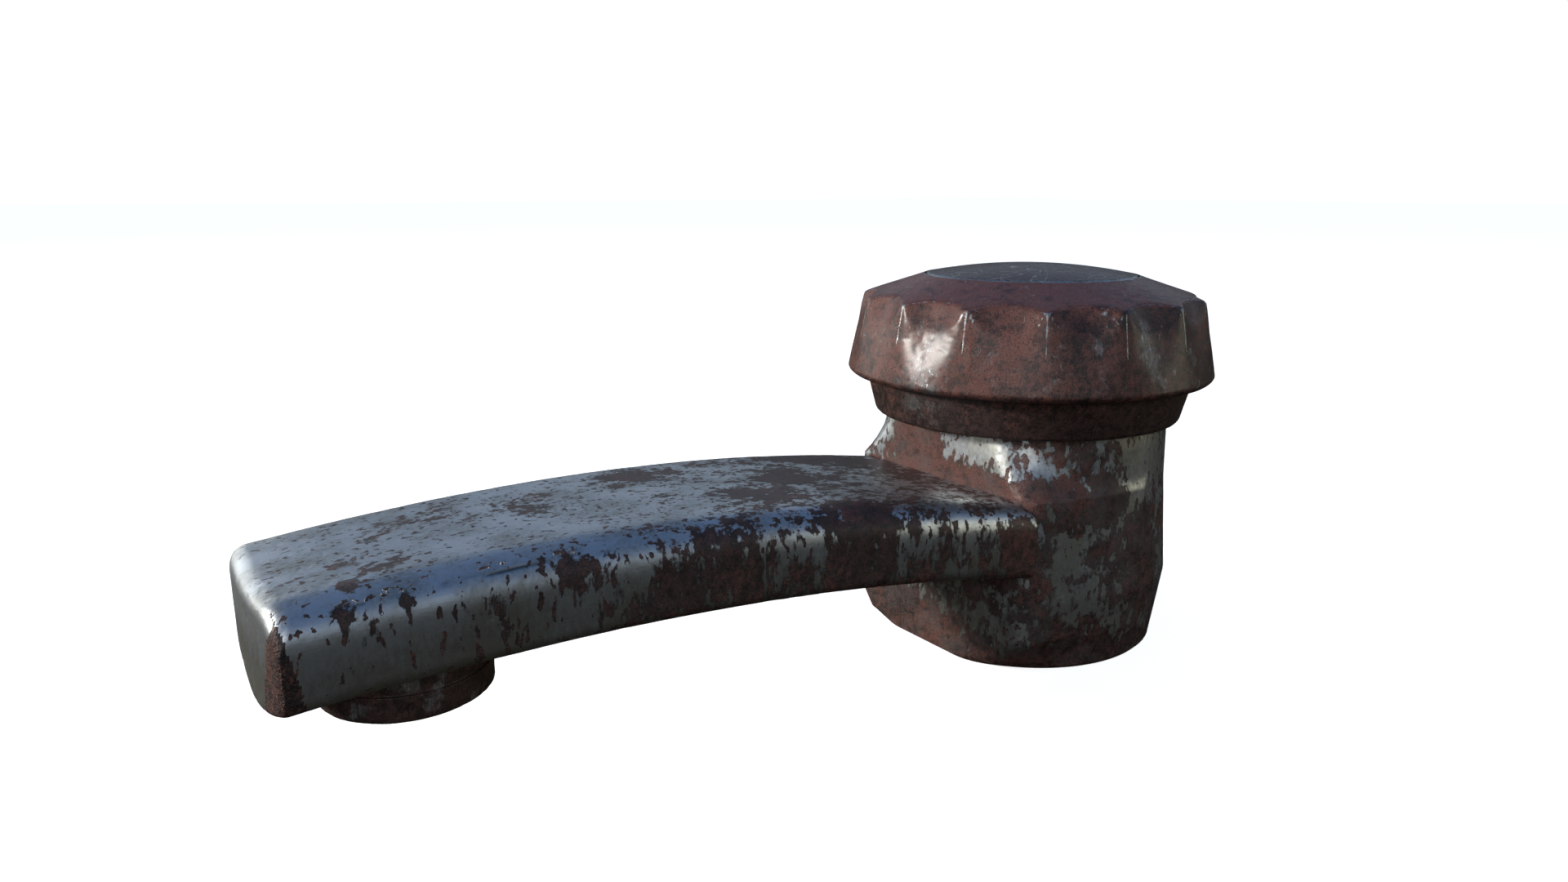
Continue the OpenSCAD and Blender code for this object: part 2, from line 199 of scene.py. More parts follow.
def mesh_object(name, vertices, faces):
    """An object from points in millimetres."""
    mesh = bpy.data.meshes.new(name)
    mesh.from_pydata((np.asarray(vertices) * MM).tolist(), [], faces)
    mesh.validate()
    mesh.update()
    obj = bpy.data.objects.new(name, mesh)
    bpy.context.scene.collection.objects.link(obj)
    return obj


def ring_mesh(name, grid, loop=False, start_pole=None, end_pole=None):
    """A closed mesh from rings of points joined in order. A loop joins the last to the first."""
    rows, columns = grid.shape[:2]
    index = np.arange(rows * columns).reshape(rows, columns)
    along = np.vstack([index, index[:1]]) if loop else index
    turned = np.roll(along, -1, axis=1)
    quads = np.stack([along[:-1], turned[:-1], turned[1:], along[1:]], -1).reshape(-1, 4)
    faces = quads.tolist()
    vertices = grid.reshape(-1, 3)
    for pole, ring, flip in ((start_pole, index[0], True), (end_pole, index[-1], False)):
        if pole is None:
            continue
        centre = len(vertices)
        vertices = np.vstack([vertices, pole])
        following = np.roll(ring, -1)
        pairs = zip(following, ring) if flip else zip(ring, following)
        faces += [[int(a), int(b), centre] for a, b in pairs]
    obj = mesh_object(name, vertices, faces)
    fix_normals(obj)
    return obj


def fix_normals(obj):
    """Turns every face outwards."""
    work = bmesh.new()
    work.from_mesh(obj.data)
    bmesh.ops.recalc_face_normals(work, faces=work.faces)
    work.to_mesh(obj.data)
    work.free()


def cutter_cylinder(name, centre, radius, depth, axis="Z", segments=96):
    """A plain cylinder that cuts a hole. centre is its middle, in millimetres."""
    work = bmesh.new()
    r = radius * MM
    bmesh.ops.create_cone(
        work, cap_ends=True, segments=segments, radius1=r, radius2=r, depth=depth * MM,
    )
    turned = Matrix.Rotation(math.pi / 2, 4, "X") if axis == "Y" else Matrix.Identity(4)
    work.transform(Matrix.Translation(Vector(centre) * MM) @ turned)
    mesh = bpy.data.meshes.new(name)
    work.to_mesh(mesh)
    work.free()
    obj = bpy.data.objects.new(name, mesh)
    bpy.context.scene.collection.objects.link(obj)
    return obj


def cutter_ring(name, inner, outer, depth):
    """A flat ring that cuts a groove up into the base."""
    profile = [(inner, -1), (outer, -1), (outer, depth), (inner, depth)]
    return ring_mesh(name, rings(profile, turn(96)), loop=True)


def cut(obj, cutters):
    """Cuts each cutter out of obj, and removes the cutters."""
    for cutter in cutters:
        modifier = obj.modifiers.new(cutter.name, "BOOLEAN")
        modifier.operation = "DIFFERENCE"
        modifier.solver = "EXACT"
        modifier.object = cutter
    settle(obj)
    for cutter in cutters:
        bpy.data.objects.remove(cutter)


def settle(obj):
    """Applies obj's modifiers to its mesh."""
    bpy.context.view_layer.update()
    evaluated = obj.evaluated_get(bpy.context.evaluated_depsgraph_get())
    mesh = bpy.data.meshes.new_from_object(evaluated)
    obj.modifiers.clear()
    obj.data = mesh
    mesh.name = obj.name


def places(obj):
    """The vertices of obj in millimetres."""
    co = np.empty(len(obj.data.vertices) * 3)
    obj.data.vertices.foreach_get("co", co)
    return co.reshape(-1, 3) / MM


def move(obj, points):
    """Sets the vertices of obj, given in millimetres."""
    obj.data.vertices.foreach_set("co", (points * MM).ravel())
    obj.data.update()


def facing(obj):
    """The vertex normals of obj."""
    out = np.empty(len(obj.data.vertices) * 3)
    obj.data.vertex_normals.foreach_get("vector", out)
    return out.reshape(-1, 3)


def fractal(points, size, octaves=4, seed=0.0):
    """Fractal noise at points, about -1 to 1, with features of a size in millimetres."""
    shift = Vector((seed, seed * 1.7, seed * 2.3))
    return np.array([
        noise.fractal(Vector(p) / size + shift, 0.9, 2.0, octaves, noise_basis="PERLIN_ORIGINAL")
        for p in points.tolist()
    ])


def wear_surface(obj, depth, where=None):
    """Sinks shallow dents and pits into the surface. where is a share for each vertex."""
    points = places(obj)
    dents = fractal(points, 9.0, 3, 3.1)
    pits = fractal(points, 1.6, 3, 7.7)
    sink = 0.55 * smooth(dents, -0.5, 0.7) + 0.45 * smooth(pits, 0.05, 0.6)
    if where is not None:
        sink = sink * where
    move(obj, points - facing(obj) * (depth * sink)[:, None])


def paint(obj, **layers):
    """Stores a value or vector for each vertex, for the materials to read."""
    for name, values in layers.items():
        kind, field = ("FLOAT_VECTOR", "vector") if np.ndim(values) == 2 else ("FLOAT", "value")
        layer = obj.data.attributes.new(name, kind, "POINT")
        layer.data.foreach_set(field, np.asarray(values, np.float32).ravel())


def shade(obj):
    """Smooth shading with crisp edges."""
    obj.data.shade_smooth()
    obj.data.set_sharp_from_angle(angle=math.radians(38))


def spots(points, table):
    """Sum of soft spots: each is a centre, a size along each axis, and an amount."""
    total = np.zeros(len(points))
    for centre, size, amount in table:
        total += amount * np.exp(-(((points - centre) / size) ** 2).sum(1))
    return total


# ---------------------------------------------------------------- shader tools

class Tree:
    """Adds nodes to a shader tree. An input may be a plain value or another node's output."""

    def __init__(self, tree):
        self.tree = tree

    def node(self, kind, inputs=None, **settings):
        """A new node with its inputs and settings, given by name."""
        made = self.tree.nodes.new(kind)
        for name, value in settings.items():
            setattr(made, name, value)
        for name, value in (inputs or {}).items():
            self.set(made.inputs[name], value)
        return made

    def set(self, socket, value):
        """Links an output to a socket, or gives the socket a plain value."""
        if isinstance(value, bpy.types.NodeSocket):
            self.tree.links.new(value, socket)
        elif socket.type == "RGBA" and len(value) == 3:
            socket.default_value = (*value, 1.0)
        else:
            socket.default_value = value

    def math(self, operation, a, b, clamp=False):
        """One step of arithmetic on two numbers."""
        made = self.node("ShaderNodeMath", operation=operation, use_clamp=clamp)
        self.set(made.inputs[0], a)
        self.set(made.inputs[1], b)
        return made.outputs[0]

    def add(self, a, b):
        """a + b"""
        return self.math("ADD", a, b)

    def less(self, a, b):
        """a - b"""
        return self.math("SUBTRACT", a, b)

    def times(self, a, b):
        """a * b"""
        return self.math("MULTIPLY", a, b)

    def weighed(self, a, share_a, b, share_b):
        """The sum of two numbers, each times its own share."""
        return self.add(self.times(a, share_a), self.times(b, share_b))

    def step(self, value, low, high, out_low=0.0, out_high=1.0):
        """An S-curve from out_low at low to out_high at high."""
        made = self.node("ShaderNodeMapRange", {
            "Value": value, "From Min": low, "From Max": high, "To Min": out_low, "To Max": out_high,
        }, interpolation_type="SMOOTHSTEP")
        return made.outputs["Result"]

    def mix(self, factor, a, b):
        """A blend of two colours."""
        made = self.node("ShaderNodeMix", data_type="RGBA", clamp_factor=True)
        self.set(made.inputs["Factor"], factor)
        self.set(made.inputs[6], a)
        self.set(made.inputs[7], b)
        return made.outputs[2]

    def blend(self, factor, a, b):
        """A blend of two numbers."""
        made = self.node("ShaderNodeMix", data_type="FLOAT", clamp_factor=True)
        self.set(made.inputs["Factor"], factor)
        self.set(made.inputs[2], a)
        self.set(made.inputs[3], b)
        return made.outputs[0]

    def either(self, factor, first, second):
        """The first shader where factor is 0, and the second where it is 1."""
        made = self.node("ShaderNodeMixShader", {"Fac": factor})
        self.set(made.inputs[1], first)
        self.set(made.inputs[2], second)
        return made.outputs[0]

    def noise(self, vector, scale, detail, roughness, distortion=0.0):
        """Cloudy noise from 0 to 1."""
        made = self.node("ShaderNodeTexNoise", {
            "Vector": vector, "Scale": scale, "Detail": detail, "Roughness": roughness,
            "Distortion": distortion,
        })
        return made.outputs["Fac"]

    def stretch(self, vector, scale, shift=(0, 0, 0)):
        """The vector scaled along each axis, and moved."""
        made = self.node("ShaderNodeMapping", {"Vector": vector, "Location": shift, "Scale": scale})
        return made.outputs["Vector"]

    def layer(self, name, output="Fac"):
        """A value that is stored on the mesh."""
        made = self.node("ShaderNodeAttribute", attribute_name=name)
        return made.outputs[output]

    def group(self, name, **inputs):
        """The outputs of a shared effect, placed with its own values."""
        made = self.node("ShaderNodeGroup", node_tree=bpy.data.node_groups[name])
        for key, value in inputs.items():
            self.set(made.inputs[key.replace("_", " ")], value)
        return made.outputs


def new_group(name, inputs, outputs):
    """An empty shader group. An input with no default is a vector, and three values are a colour."""
    tree = bpy.data.node_groups.new(name, "ShaderNodeTree")
    for key, default in inputs.items():
        kind = "Vector" if default is None else "Color" if isinstance(default, tuple) else "Float"
        socket = tree.interface.new_socket(key, in_out="INPUT", socket_type="NodeSocket" + kind)
        if default is not None:
            socket.default_value = (*default, 1.0) if kind == "Color" else default
    for key in outputs:
        kind = "Color" if key == "Color" else "Float"
        tree.interface.new_socket(key, in_out="OUTPUT", socket_type="NodeSocket" + kind)
    work = Tree(tree)
    return work, work.node("NodeGroupInput").outputs, work.node("NodeGroupOutput").inputs


# Tones that don't change with the user's colours
PALE_DUST = (0.20, 0.15, 0.13)         # dust caught in the rust
GREY_BLOOM = (0.105, 0.088, 0.084)     # grey bloom over old rust
RUST_HALO = (0.05, 0.045, 0.04)        # stain on the steel round a patch of rust
PIT_DARK = (0.02, 0.018, 0.018)        # pits in the steel
SEAM_DARK = (0.012, 0.014, 0.02)       # painted shade in the crease along the spout's near top edge


def build_rust_flakes():
    """Where rust has broken through: crisp ragged patches with specks between them."""
    t, given, result = new_group(
        "Rust flakes", {"Vector": None, "Spread": 0.5, "Size": 7.0, "Specks": 0.5}, ("Mask", "Halo"),
    )
    place = given["Vector"]
    scale = t.math("DIVIDE", 1.0, given["Size"])
    broad = t.noise(place, scale, 9.0, 0.62, 0.15)
    torn = t.noise(place, t.times(scale, 3.4), 8.0, 0.66)
    level = t.less(0.70, t.times(given["Spread"], 0.40))
    over = t.less(t.weighed(broad, 0.52, torn, 0.48), level)
    grit = t.noise(place, t.times(scale, 4.4), 3.0, 0.5)
    specks = t.step(t.add(grit, t.weighed(over, 0.6, given["Specks"], 0.16)), 0.69, 0.70)
    mask = t.math("MAXIMUM", t.step(over, 0.0, 0.008), specks)
    t.set(result["Mask"], mask)
    t.set(result["Halo"], t.times(t.step(over, -0.035, 0.0), t.less(1.0, mask)))


def build_rust_grain():
    """Mottled rust: dark hollows, main colour, orange new rust (also painted light) and pale dust."""
    t, given, result = new_group(
        "Rust grain",
        {"Vector": None, "Dark": (0.03, 0.015, 0.01), "Body": (0.11, 0.045, 0.03),
         "Fresh": (0.27, 0.1, 0.06), "Freshness": 0.4},
        ("Color", "Roughness", "Height"),
    )
    place, dark = given["Vector"], given["Dark"]
    cloud = t.noise(place, 0.16, 5.0, 0.6)
    mottle = t.noise(place, 0.9, 8.0, 0.72)
    grain = t.noise(place, 4.2, 6.0, 0.7)
    blotch = t.noise(t.stretch(place, (1, 1, 1), (5, 17, 9)), 0.35, 6.0, 0.7)
    dust = t.noise(t.stretch(place, (1, 1, 1), (31, 7, 3)), 5.5, 3.0, 0.6)
    height = t.weighed(mottle, 0.6, grain, 0.4)
    fresh = t.add(height, t.times(t.less(cloud, 0.5), 0.5))
    # The freshness given here is fresh rust, and on the knob's top face painted light.
    fresh = t.add(fresh, t.times(given["Freshness"], 0.2))
    tone = t.mix(t.step(height, 0.40, 0.54), dark, given["Body"])
    tone = t.mix(t.step(fresh, 0.54, 0.74), tone, given["Fresh"])
    tone = t.mix(t.step(grain, 0.50, 0.40, 0.0, 0.75), tone, dark)
    tone = t.mix(t.step(blotch, 0.50, 0.36, 0.0, 0.6), tone, dark)
    tone = t.mix(t.times(t.step(dust, 0.66, 0.74), 0.35), tone, PALE_DUST)
    t.set(result["Color"], tone)
    t.set(result["Roughness"], t.step(height, 0.35, 0.65, 0.42, 0.68))
    t.set(result["Height"], height)


def build_worn_steel():
    """Bare steel: soft stains, fine brushing and small dark pits, darkened further by painted shade.
    """
    t, given, result = new_group(
        "Worn steel",
        {"Vector": None, "Bright": (0.4, 0.42, 0.45), "Dull": (0.2, 0.2, 0.2), "Stain": 0.5},
        ("Color", "Roughness", "Height"),
    )
    place = given["Vector"]
    cloud = t.noise(place, 0.11, 6.0, 0.6)
    fine = t.noise(place, 1.4, 7.0, 0.7)
    brushed = t.noise(t.stretch(place, (0.35, 0.35, 6.0)), 1.3, 4.0, 0.6)
    pits = t.step(t.noise(place, 3.1, 3.0, 0.5), 0.69, 0.72)
    blend = t.weighed(cloud, 0.6, fine, 0.4)
    stain = t.add(blend, t.times(t.less(given["Stain"], 0.5), 0.3))
    tone = t.mix(t.step(stain, 0.36, 0.66), given["Bright"], given["Dull"])
    t.set(result["Color"], t.mix(t.times(pits, 0.75), tone, PIT_DARK))
    rough = t.add(t.step(blend, 0.3, 0.7, 0.26, 0.42), t.times(brushed, 0.06))
    rough = t.add(rough, t.step(given["Stain"], 0.6, 1.2, 0.0, 0.12))
    t.set(result["Roughness"], t.add(rough, t.times(pits, 0.3)))
    t.set(result["Height"], t.less(t.weighed(fine, 0.5, brushed, 0.3), t.times(pits, 0.5)))


def build_edge_wear():
    """Where edges have been rubbed bright, broken up by noise."""
    t, given, result = new_group("Edge wear", {"Vector": None, "Edge": 0.0, "Amount": 0.5}, ("Mask",))
    patchy = t.noise(given["Vector"], 0.55, 7.0, 0.7)
    grip = t.add(given["Edge"], t.times(t.less(patchy, 0.5), 1.6))
    t.set(result["Mask"], t.step(t.less(grip, t.less(1.15, given["Amount"])), 0.0, 0.18))


def build_scratches():
    """Thin curved scratches, and fine straight strokes along the vector's third axis."""
    t, given, result = new_group("Scratches", {"Vector": None, "Density": 0.5}, ("Mask", "Strokes"))
    place = given["Vector"]
    total = None
    for scale, shift, width in ((0.055, 3.0, 0.0030), (0.08, 11.0, 0.0034), (0.12, 23.0, 0.0040)):
        line = t.noise(t.stretch(place, (1, 1, 1), (shift, shift, shift)), scale, 1.0, 0.4, 0.3)
        thin = t.step(t.math("ABSOLUTE", t.less(line, 0.5), 0.0), width, 0.0)
        total = thin if total is None else t.math("MAXIMUM", total, thin)
    level = t.less(0.75, t.times(given["Density"], 0.4))
    broken = t.step(t.less(t.noise(place, 0.5, 4.0, 0.6), level), 0.0, 0.12)
    t.set(result["Mask"], t.times(total, broken))
    strokes = t.noise(t.stretch(place, (3.2, 3.2, 0.10)), 1.0, 4.0, 0.6)
    t.set(result["Strokes"], t.step(strokes, 0.52, 0.66))


def build_groups():
    """All the shared effects."""
    build_rust_flakes()
    build_rust_grain()
    build_worn_steel()
    build_edge_wear()
    build_scratches()


def rust_effect(t, place, freshness):
    """The rust grain in the user's colours."""
    values = bpy.context.scene.tap_finish
    return t.group(
        "Rust grain", Vector=place, Dark=values.rust_dark[:], Body=values.rust_body[:],
        Fresh=values.rust_warm[:], Freshness=t.add(t.layer("fresh"), freshness),
    )


def steel_effect(t, place, stain):
    """The worn steel in the user's colours."""
    values = bpy.context.scene.tap_finish
    return t.group(
        "Worn steel", Vector=place, Bright=values.steel[:], Dull=values.steel_dull[:], Stain=stain,
    )


def millimetres(t):
    """The object's own coordinates in millimetres."""
    return t.stretch(t.node("ShaderNodeTexCoord").outputs["Object"], (1 / MM, 1 / MM, 1 / MM))


def new_material(name):
    """A material with its tree and its Principled shader, ready to be wired."""
    material = bpy.data.materials.new(name)
    material.use_nodes = True
    tree = Tree(material.node_tree)
    shader = next(n for n in material.node_tree.nodes if n.type == "BSDF_PRINCIPLED")
    return material, tree, shader


def wire(t, shader, tone, metallic, roughness, height, relief, gloss=0.0):
    """Feeds the shader. relief is the depth of its bumps in millimetres, and gloss its coat."""
    shader.inputs["Coat Weight"].default_value = gloss
    shader.inputs["Coat Roughness"].default_value = 0.26
    shader.inputs["Specular IOR Level"].default_value = 0.35
    t.set(shader.inputs["Base Color"], tone)
    t.set(shader.inputs["Metallic"], metallic)
    t.set(shader.inputs["Roughness"], roughness)
    bump = t.node("ShaderNodeBump", {"Height": height, "Distance": relief * MM, "Strength": 1.0})
    t.set(shader.inputs["Normal"], bump.outputs["Normal"])


def casting_material(name, rust_share, patch, specks, freshness, dust, metal):
    """Steel under rust patches, for the body and the spout."""
    material, t, shader = new_material(name)
    grain, place = t.layer("grain", "Vector"), t.layer("place", "Vector")
    crust, seam = t.layer("crust"), t.layer("seam")
    spread = t.add(t.layer("rusting"), rust_share)
    flakes = t.group("Rust flakes", Vector=grain, Spread=spread, Size=patch, Specks=specks)
    mask = flakes["Mask"]
    # The layer read here darkens the steel towards the dull tone: painted shade on the body, and a
    # painted reflection of the dark ground on the spout's sides.
    steel = steel_effect(t, grain, t.layer("stain"))
    rust = rust_effect(t, place, freshness)
    lumps = t.noise(place, 1.9, 3.0, 0.6)
    bloom = t.noise(place, 0.22, 5.0, 0.65)
    dark = bpy.context.scene.tap_finish.rust_dark[:]
    rusty = t.mix(t.times(crust, t.step(lumps, 0.44, 0.52, 0.0, 0.85)), rust["Color"], dark)
    rusty = t.mix(t.step(bloom, 0.40, 0.62, 0.0, dust), rusty, GREY_BLOOM)
    bare = t.mix(t.times(flakes["Halo"], 0.55), steel["Color"], RUST_HALO)
    # Painted shade: a dark line along the crease at the spout's near top edge, also bumped in as a
    # groove below.
    bare = t.mix(seam, bare, SEAM_DARK)
    metallic = t.less(metal, t.times(mask, metal - 0.14))
    roughness = t.blend(mask, steel["Roughness"], rust["Roughness"])
    raised = t.add(t.add(0.35, t.times(rust["Height"], 1.6)), t.times(t.times(crust, lumps), 3.0))
    height = t.blend(mask, t.times(steel["Height"], 0.25), raised)
    height = t.less(height, t.times(seam, 0.8))
    wire(t, shader, t.mix(mask, bare, rusty), metallic, roughness, height, 0.22, 0.25)
    return material


def rusted_material(name, freshness, wear, scratches, bare_share):
    """Rust all over, rubbed to metal on its edges, for the knob, cap, shroud and outlet."""
    material, t, shader = new_material(name)
    place = t.layer("place", "Vector")
    rust = rust_effect(t, place, freshness)
    steel = steel_effect(t, place, 0.6)
    worn = t.group("Edge wear", Vector=place, Edge=t.layer("edge"), Amount=wear)["Mask"]
    lines = t.group("Scratches", Vector=place, Density=scratches)
    scratch, strokes = lines["Mask"], lines["Strokes"]
    bare = t.add(t.noise(place, 0.42, 8.0, 0.72), t.times(t.layer("bare"), 0.35))
    bare = t.step(t.add(bare, bare_share), 0.62, 0.76)
    bare = t.times(bare, t.add(0.22, t.times(strokes, 0.55)))
    mask = t.math("MAXIMUM", t.math("MAXIMUM", worn, scratch), bare, clamp=True)
    tone = t.mix(mask, rust["Color"], steel["Color"])
    roughness = t.less(t.blend(mask, rust["Roughness"], 0.36), t.times(strokes, 0.16))
    height = t.less(t.less(rust["Height"], t.times(scratch, 0.3)), t.times(strokes, 0.10))
    wire(t, shader, tone, t.add(0.25, t.times(mask, 0.7)), roughness, height, 0.20, 0.28)
    return material


def turned_metal(name, tone, roughness=0.3):
    """Machined metal with fine turning marks and slight tarnish, for the inner pieces."""
    material, t, shader = new_material(name)
    place = millimetres(t)
    tarnish = t.noise(place, 0.4, 6.0, 0.65)
    marks = t.noise(t.stretch(place, (0.3, 0.3, 9.0)), 1.0, 3.0, 0.5)
    tarnished = tuple(0.45 * c for c in tone)
    rough = t.step(tarnish, 0.35, 0.7, roughness, roughness + 0.2)
    rough = t.add(rough, t.times(marks, 0.08))
    wire(t, shader, t.mix(t.step(tarnish, 0.42, 0.72), tone, tarnished), 1.0, rough, marks, 0.02)
    return material


def moulded(name, tone, roughness, grain_size):
    """Rubber or moulded plastic with a fine grain and faint dust."""
    material, t, shader = new_material(name)
    place = millimetres(t)
    cloud = t.noise(place, 0.5, 5.0, 0.6)
    grain = t.noise(place, 1.0 / grain_size, 3.0, 0.6)
    dusty = tuple(0.6 * c + 0.06 for c in tone)
    rough = t.step(grain, 0.3, 0.7, roughness - 0.08, roughness + 0.1)
    wire(t, shader, t.mix(t.step(cloud, 0.45, 0.75), tone, dusty), 0.0, rough, grain, 0.03)
    return material


def dress(obj, material, body, slot, *nodes):
    """Gives a finished piece its material, its body and the nodes that it stands for. The slot is not
    used.
    """
    obj.data.materials.clear()
    obj.data.materials.append(material)
    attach(obj, body)
    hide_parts(*nodes)
    return obj


# ---------------------------------------------------------------- body

PAD_LEAN = (22.2 - 20.6) / 30.4      # how far the pad's face leans in for each unit of height
PAD_TOP_Z = 38.4                     # where the pad ends under the shroud
# Hollows of the casting, as in the frame: radii, then heights
INLET_R, SEAT_R, CHAMBER_R, THREAD_R = 9.3, 8.05, 12, 13.2
WEB_Z, CHAMBER_Z, THREAD_Z = 13, 17, 32
STUD_Y, STUD_R, BOSS_R = 15.6, 3.4, 6.2
SPIGOT_R, SPIGOT_Z = 5.55, 23.2
# Rings cut up into the base: inner radius, outer radius and depth
SEAL_GROOVE = (19.35, 21.25, 1.75)
BASE_POCKET = (12.6, 18, 11)
REACH = 45           # further from the axis than any skin that a ray looks for


def pad_face(z):
    """Distance of the pad's face from the axis at a height."""
    return -box_mm("body")[0][1] - PAD_LEAN * z


def body_shape(blend):
    """Distance from the casting's skin: a round flared body joined to its front pad."""
    flare, _, top = box_mm("body")[1]
    heights = [0, 0.6, 13, 29.6, 37.5, top - 0.6, top]
    radii = [flare - 2.3, flare - 1.7, flare, flare - 1.2, flare - 1.4, flare - 1.6, flare - 2.2]
    half_w = flare - 3.9
    pad_z = [-5, 0, 1.4, 6.4, 30.4, PAD_TOP_Z, 42]
    pad_x = [11, 11, 17.4, half_w, half_w, 13.4, 9.4]

    def shape(p):
        x, y, z = p[..., 0], p[..., 1], p[..., 2]
        round_part = np.hypot(x, y) - np.interp(z, heights, radii)
        pad = np.maximum(np.maximum(np.abs(x) - np.interp(z, pad_z, pad_x), y), z - PAD_TOP_Z)
        return soft_max(soft_min(round_part, pad, blend), -y - pad_face(z), 4.2)
    return shape


def build_body():
    """The casting, with its chamber, inlet and hollow base."""
    step = chosen("mesh_step")
    top = box_mm("body")[1][2]
    angles = turn(int(2 * np.pi * 26 / step))
    levels = np.unique(np.concatenate([
        [0, 0.12, 0.3, 0.6], np.arange(1, top - 0.6, step), [top - 0.6, top - 0.3, top],
    ]))
    origins = rings([(0, z) for z in levels], angles)
    directions = rings([(1, 0)] * len(levels), angles)
    outer = leave(origins, directions, REACH, body_shape(chosen("pad_blend")))
    inner = steps([(22, top), (THREAD_R, top)], 3)
    inner += steps([
        (THREAD_R, top - 0.5), (THREAD_R, THREAD_Z), (CHAMBER_R, THREAD_Z), (CHAMBER_R, CHAMBER_Z),
    ], 2)
    inner += [(SEAT_R, CHAMBER_Z), (SEAT_R, WEB_Z), (INLET_R, WEB_Z)]
    inner += steps([(INLET_R, WEB_Z - 1), (INLET_R, 0.4), (INLET_R + 0.4, 0)], 2)
    inner += steps([(11, 0), (20.5, 0)], 1.2)
    obj = ring_mesh("body_casting", np.concatenate([outer, rings(inner, angles)]), loop=True)
    wear_surface(obj, chosen("pitting"), outside_body(places(obj)))
    pocket = cutter_ring("pocket", *BASE_POCKET)
    cut(pocket, [cutter_cylinder("boss", (0, STUD_Y, 5), BOSS_R, 20)])
    cut(obj, [
        cutter_ring("groove", *SEAL_GROOVE),
        pocket,
        cutter_cylinder("spigot_hole", (0, -17.5, SPIGOT_Z), SPIGOT_R, 13, "Y"),
        cutter_cylinder("stud_hole", (0, STUD_Y, 5.5), STUD_R, 13),
    ])
    shade(obj)
    points = places(obj)
    x, y, z = points.T
    blank = np.zeros(len(points))
    above_spout = smooth(z, root_height() - 3, root_height() + 0.5) * smooth(-y, 4, 16)
    # Painted shade: the steel darkens below the neck, towards the base, and on the +x side.
    stain = 0.1 * smooth(-z, -34, -26) + 0.2 * smooth(x, 18, 25) + 0.2 * smooth(-z, -16, 0)
    paint(
        obj,
        place=points,
        grain=points * (1, 1, 0.62),
        rusting=spots(points, BODY_PATCHES) + 0.10 * smooth(-z, -12, -1),
        fresh=0.6 * above_spout + 0.3 * smooth(-z, -8, 0) * smooth(-y, 8, 18),
        stain=0.6 + stain,
        seam=blank,
        crust=blank,
    )
    return obj


def outside_body(points):
    """1 on the casting's outer surface, 0 inside it and under it."""
    x, y, z = points.T
    return smooth(np.hypot(x, y), 20.8, 21.6) * smooth(z, 0.0, 0.8)


# Bare and rusty areas of the body: centre, size along each axis, and how much rust they add
BODY_PATCHES = (
    ((9, -22, 37), (8, 6, 3.0), -0.44),
    ((19, -20, 36), (4, 5, 3.5), -0.30),
    ((-5, -22, 36), (4.5, 6, 6), 0.45),
    ((-16, -20, 37), (3, 5, 6), -0.36),
    ((10, -22, 32), (10, 6, 1.6), 0.35),
    ((25, 3, 35), (5, 9, 5.5), -0.48),
    ((27, 2, 31), (4, 3, 5), -0.26),
    ((16, 18, 34), (9, 7, 8), -0.35),
    ((22, -14, 21), (3.5, 4, 4.5), -0.36),
    ((24, -8, 14), (4, 5, 6), -0.30),
    ((16, -19, 8), (6, 5, 4.5), -0.28),
    ((4, -22, 9), (8, 4, 3.5), -0.24),
    ((25, -2, 9), (4, 6, 6), -0.18),
    ((23, -8, 30), (4, 6, 5), 0.22),
    ((-24, 2, 24), (5, 9, 9), -0.35),
    ((-4, 26, 14), (9, 5, 9), -0.35),
    ((-16, 20, 33), (8, 8, 5), -0.25),
)


# ---------------------------------------------------------------- spout

SIDE_H = 12.3        # height of the spout's straight sides
BELLY = 2.7          # how far its underside bellies down
ROOT_W = 22.3        # half width where it meets the pad
TIP_W = 15.7         # half width at its end
PAD_TOP_S = 20.6     # distance of the pad's face from the axis at the spout's top
END_S = 129.0        # beyond this the skin is the end face
SEAT_HOLE_R, WAY_R = 10.65, 7.2      # holes for the outlet's neck, and for the water
SPOUT_TOP = box_mm("spout")[1][2]
SPOUT_REACH = -box_mm("spout")[0][1]


def crown(s):
    """Height of the spout's top at a distance from the axis."""
    return SPOUT_TOP - ((s - 93) / 27.8) ** 2


def half_width(s):
    """Half width of the spout at a distance from the axis."""
    return ROOT_W + (TIP_W - ROOT_W) * (s - PAD_TOP_S) / (SPOUT_REACH - 1 - PAD_TOP_S)


def root_height():
    """Height of the spout's top where it meets the pad."""
    return crown(PAD_TOP_S)


def chip_depth(points):
    """How far a point lies inside the broken lower corner of the spout's end, on either face."""
    x, s, z = points[:, 0], -points[:, 1], points[:, 2]
    fall = np.clip((35.6 - z) / 12.0, 0, 1.2)
    on_side = 2.6 * fall ** 0.9 - (129.3 - s)
    on_end = 6.6 * fall ** 0.8 - (TIP_W - x)
    return np.where(x > 0, np.where(s > END_S, on_end, on_side), -5.0)


def spout_shape(edge, corner):
    """Distance from the spout's skin: arched and flat, with a bellied underside and a bowed end."""
    bow = 124.0

    def shape(p):
        x, s, z = p[..., 0], -p[..., 1], p[..., 2]
        w = half_width(s)
        top = crown(s)
        section = soft_max(z - top, soft_max(x - w, -x - w, 0.01), edge)
        belly = top - SIDE_H - BELLY * (1 - np.clip(x / (w - 1.4), -1.2, 1.2) ** 2)
        section = soft_max(section, belly - z, 1.3)
        end = np.hypot(x, s - (SPOUT_REACH - bow)) - bow
        softer = np.maximum(smooth(z, top - 5, top - 0.5), smooth(-x, -4, 6))
        return soft_max(section, end, corner * (1 + 1.4 * softer))
    return shape


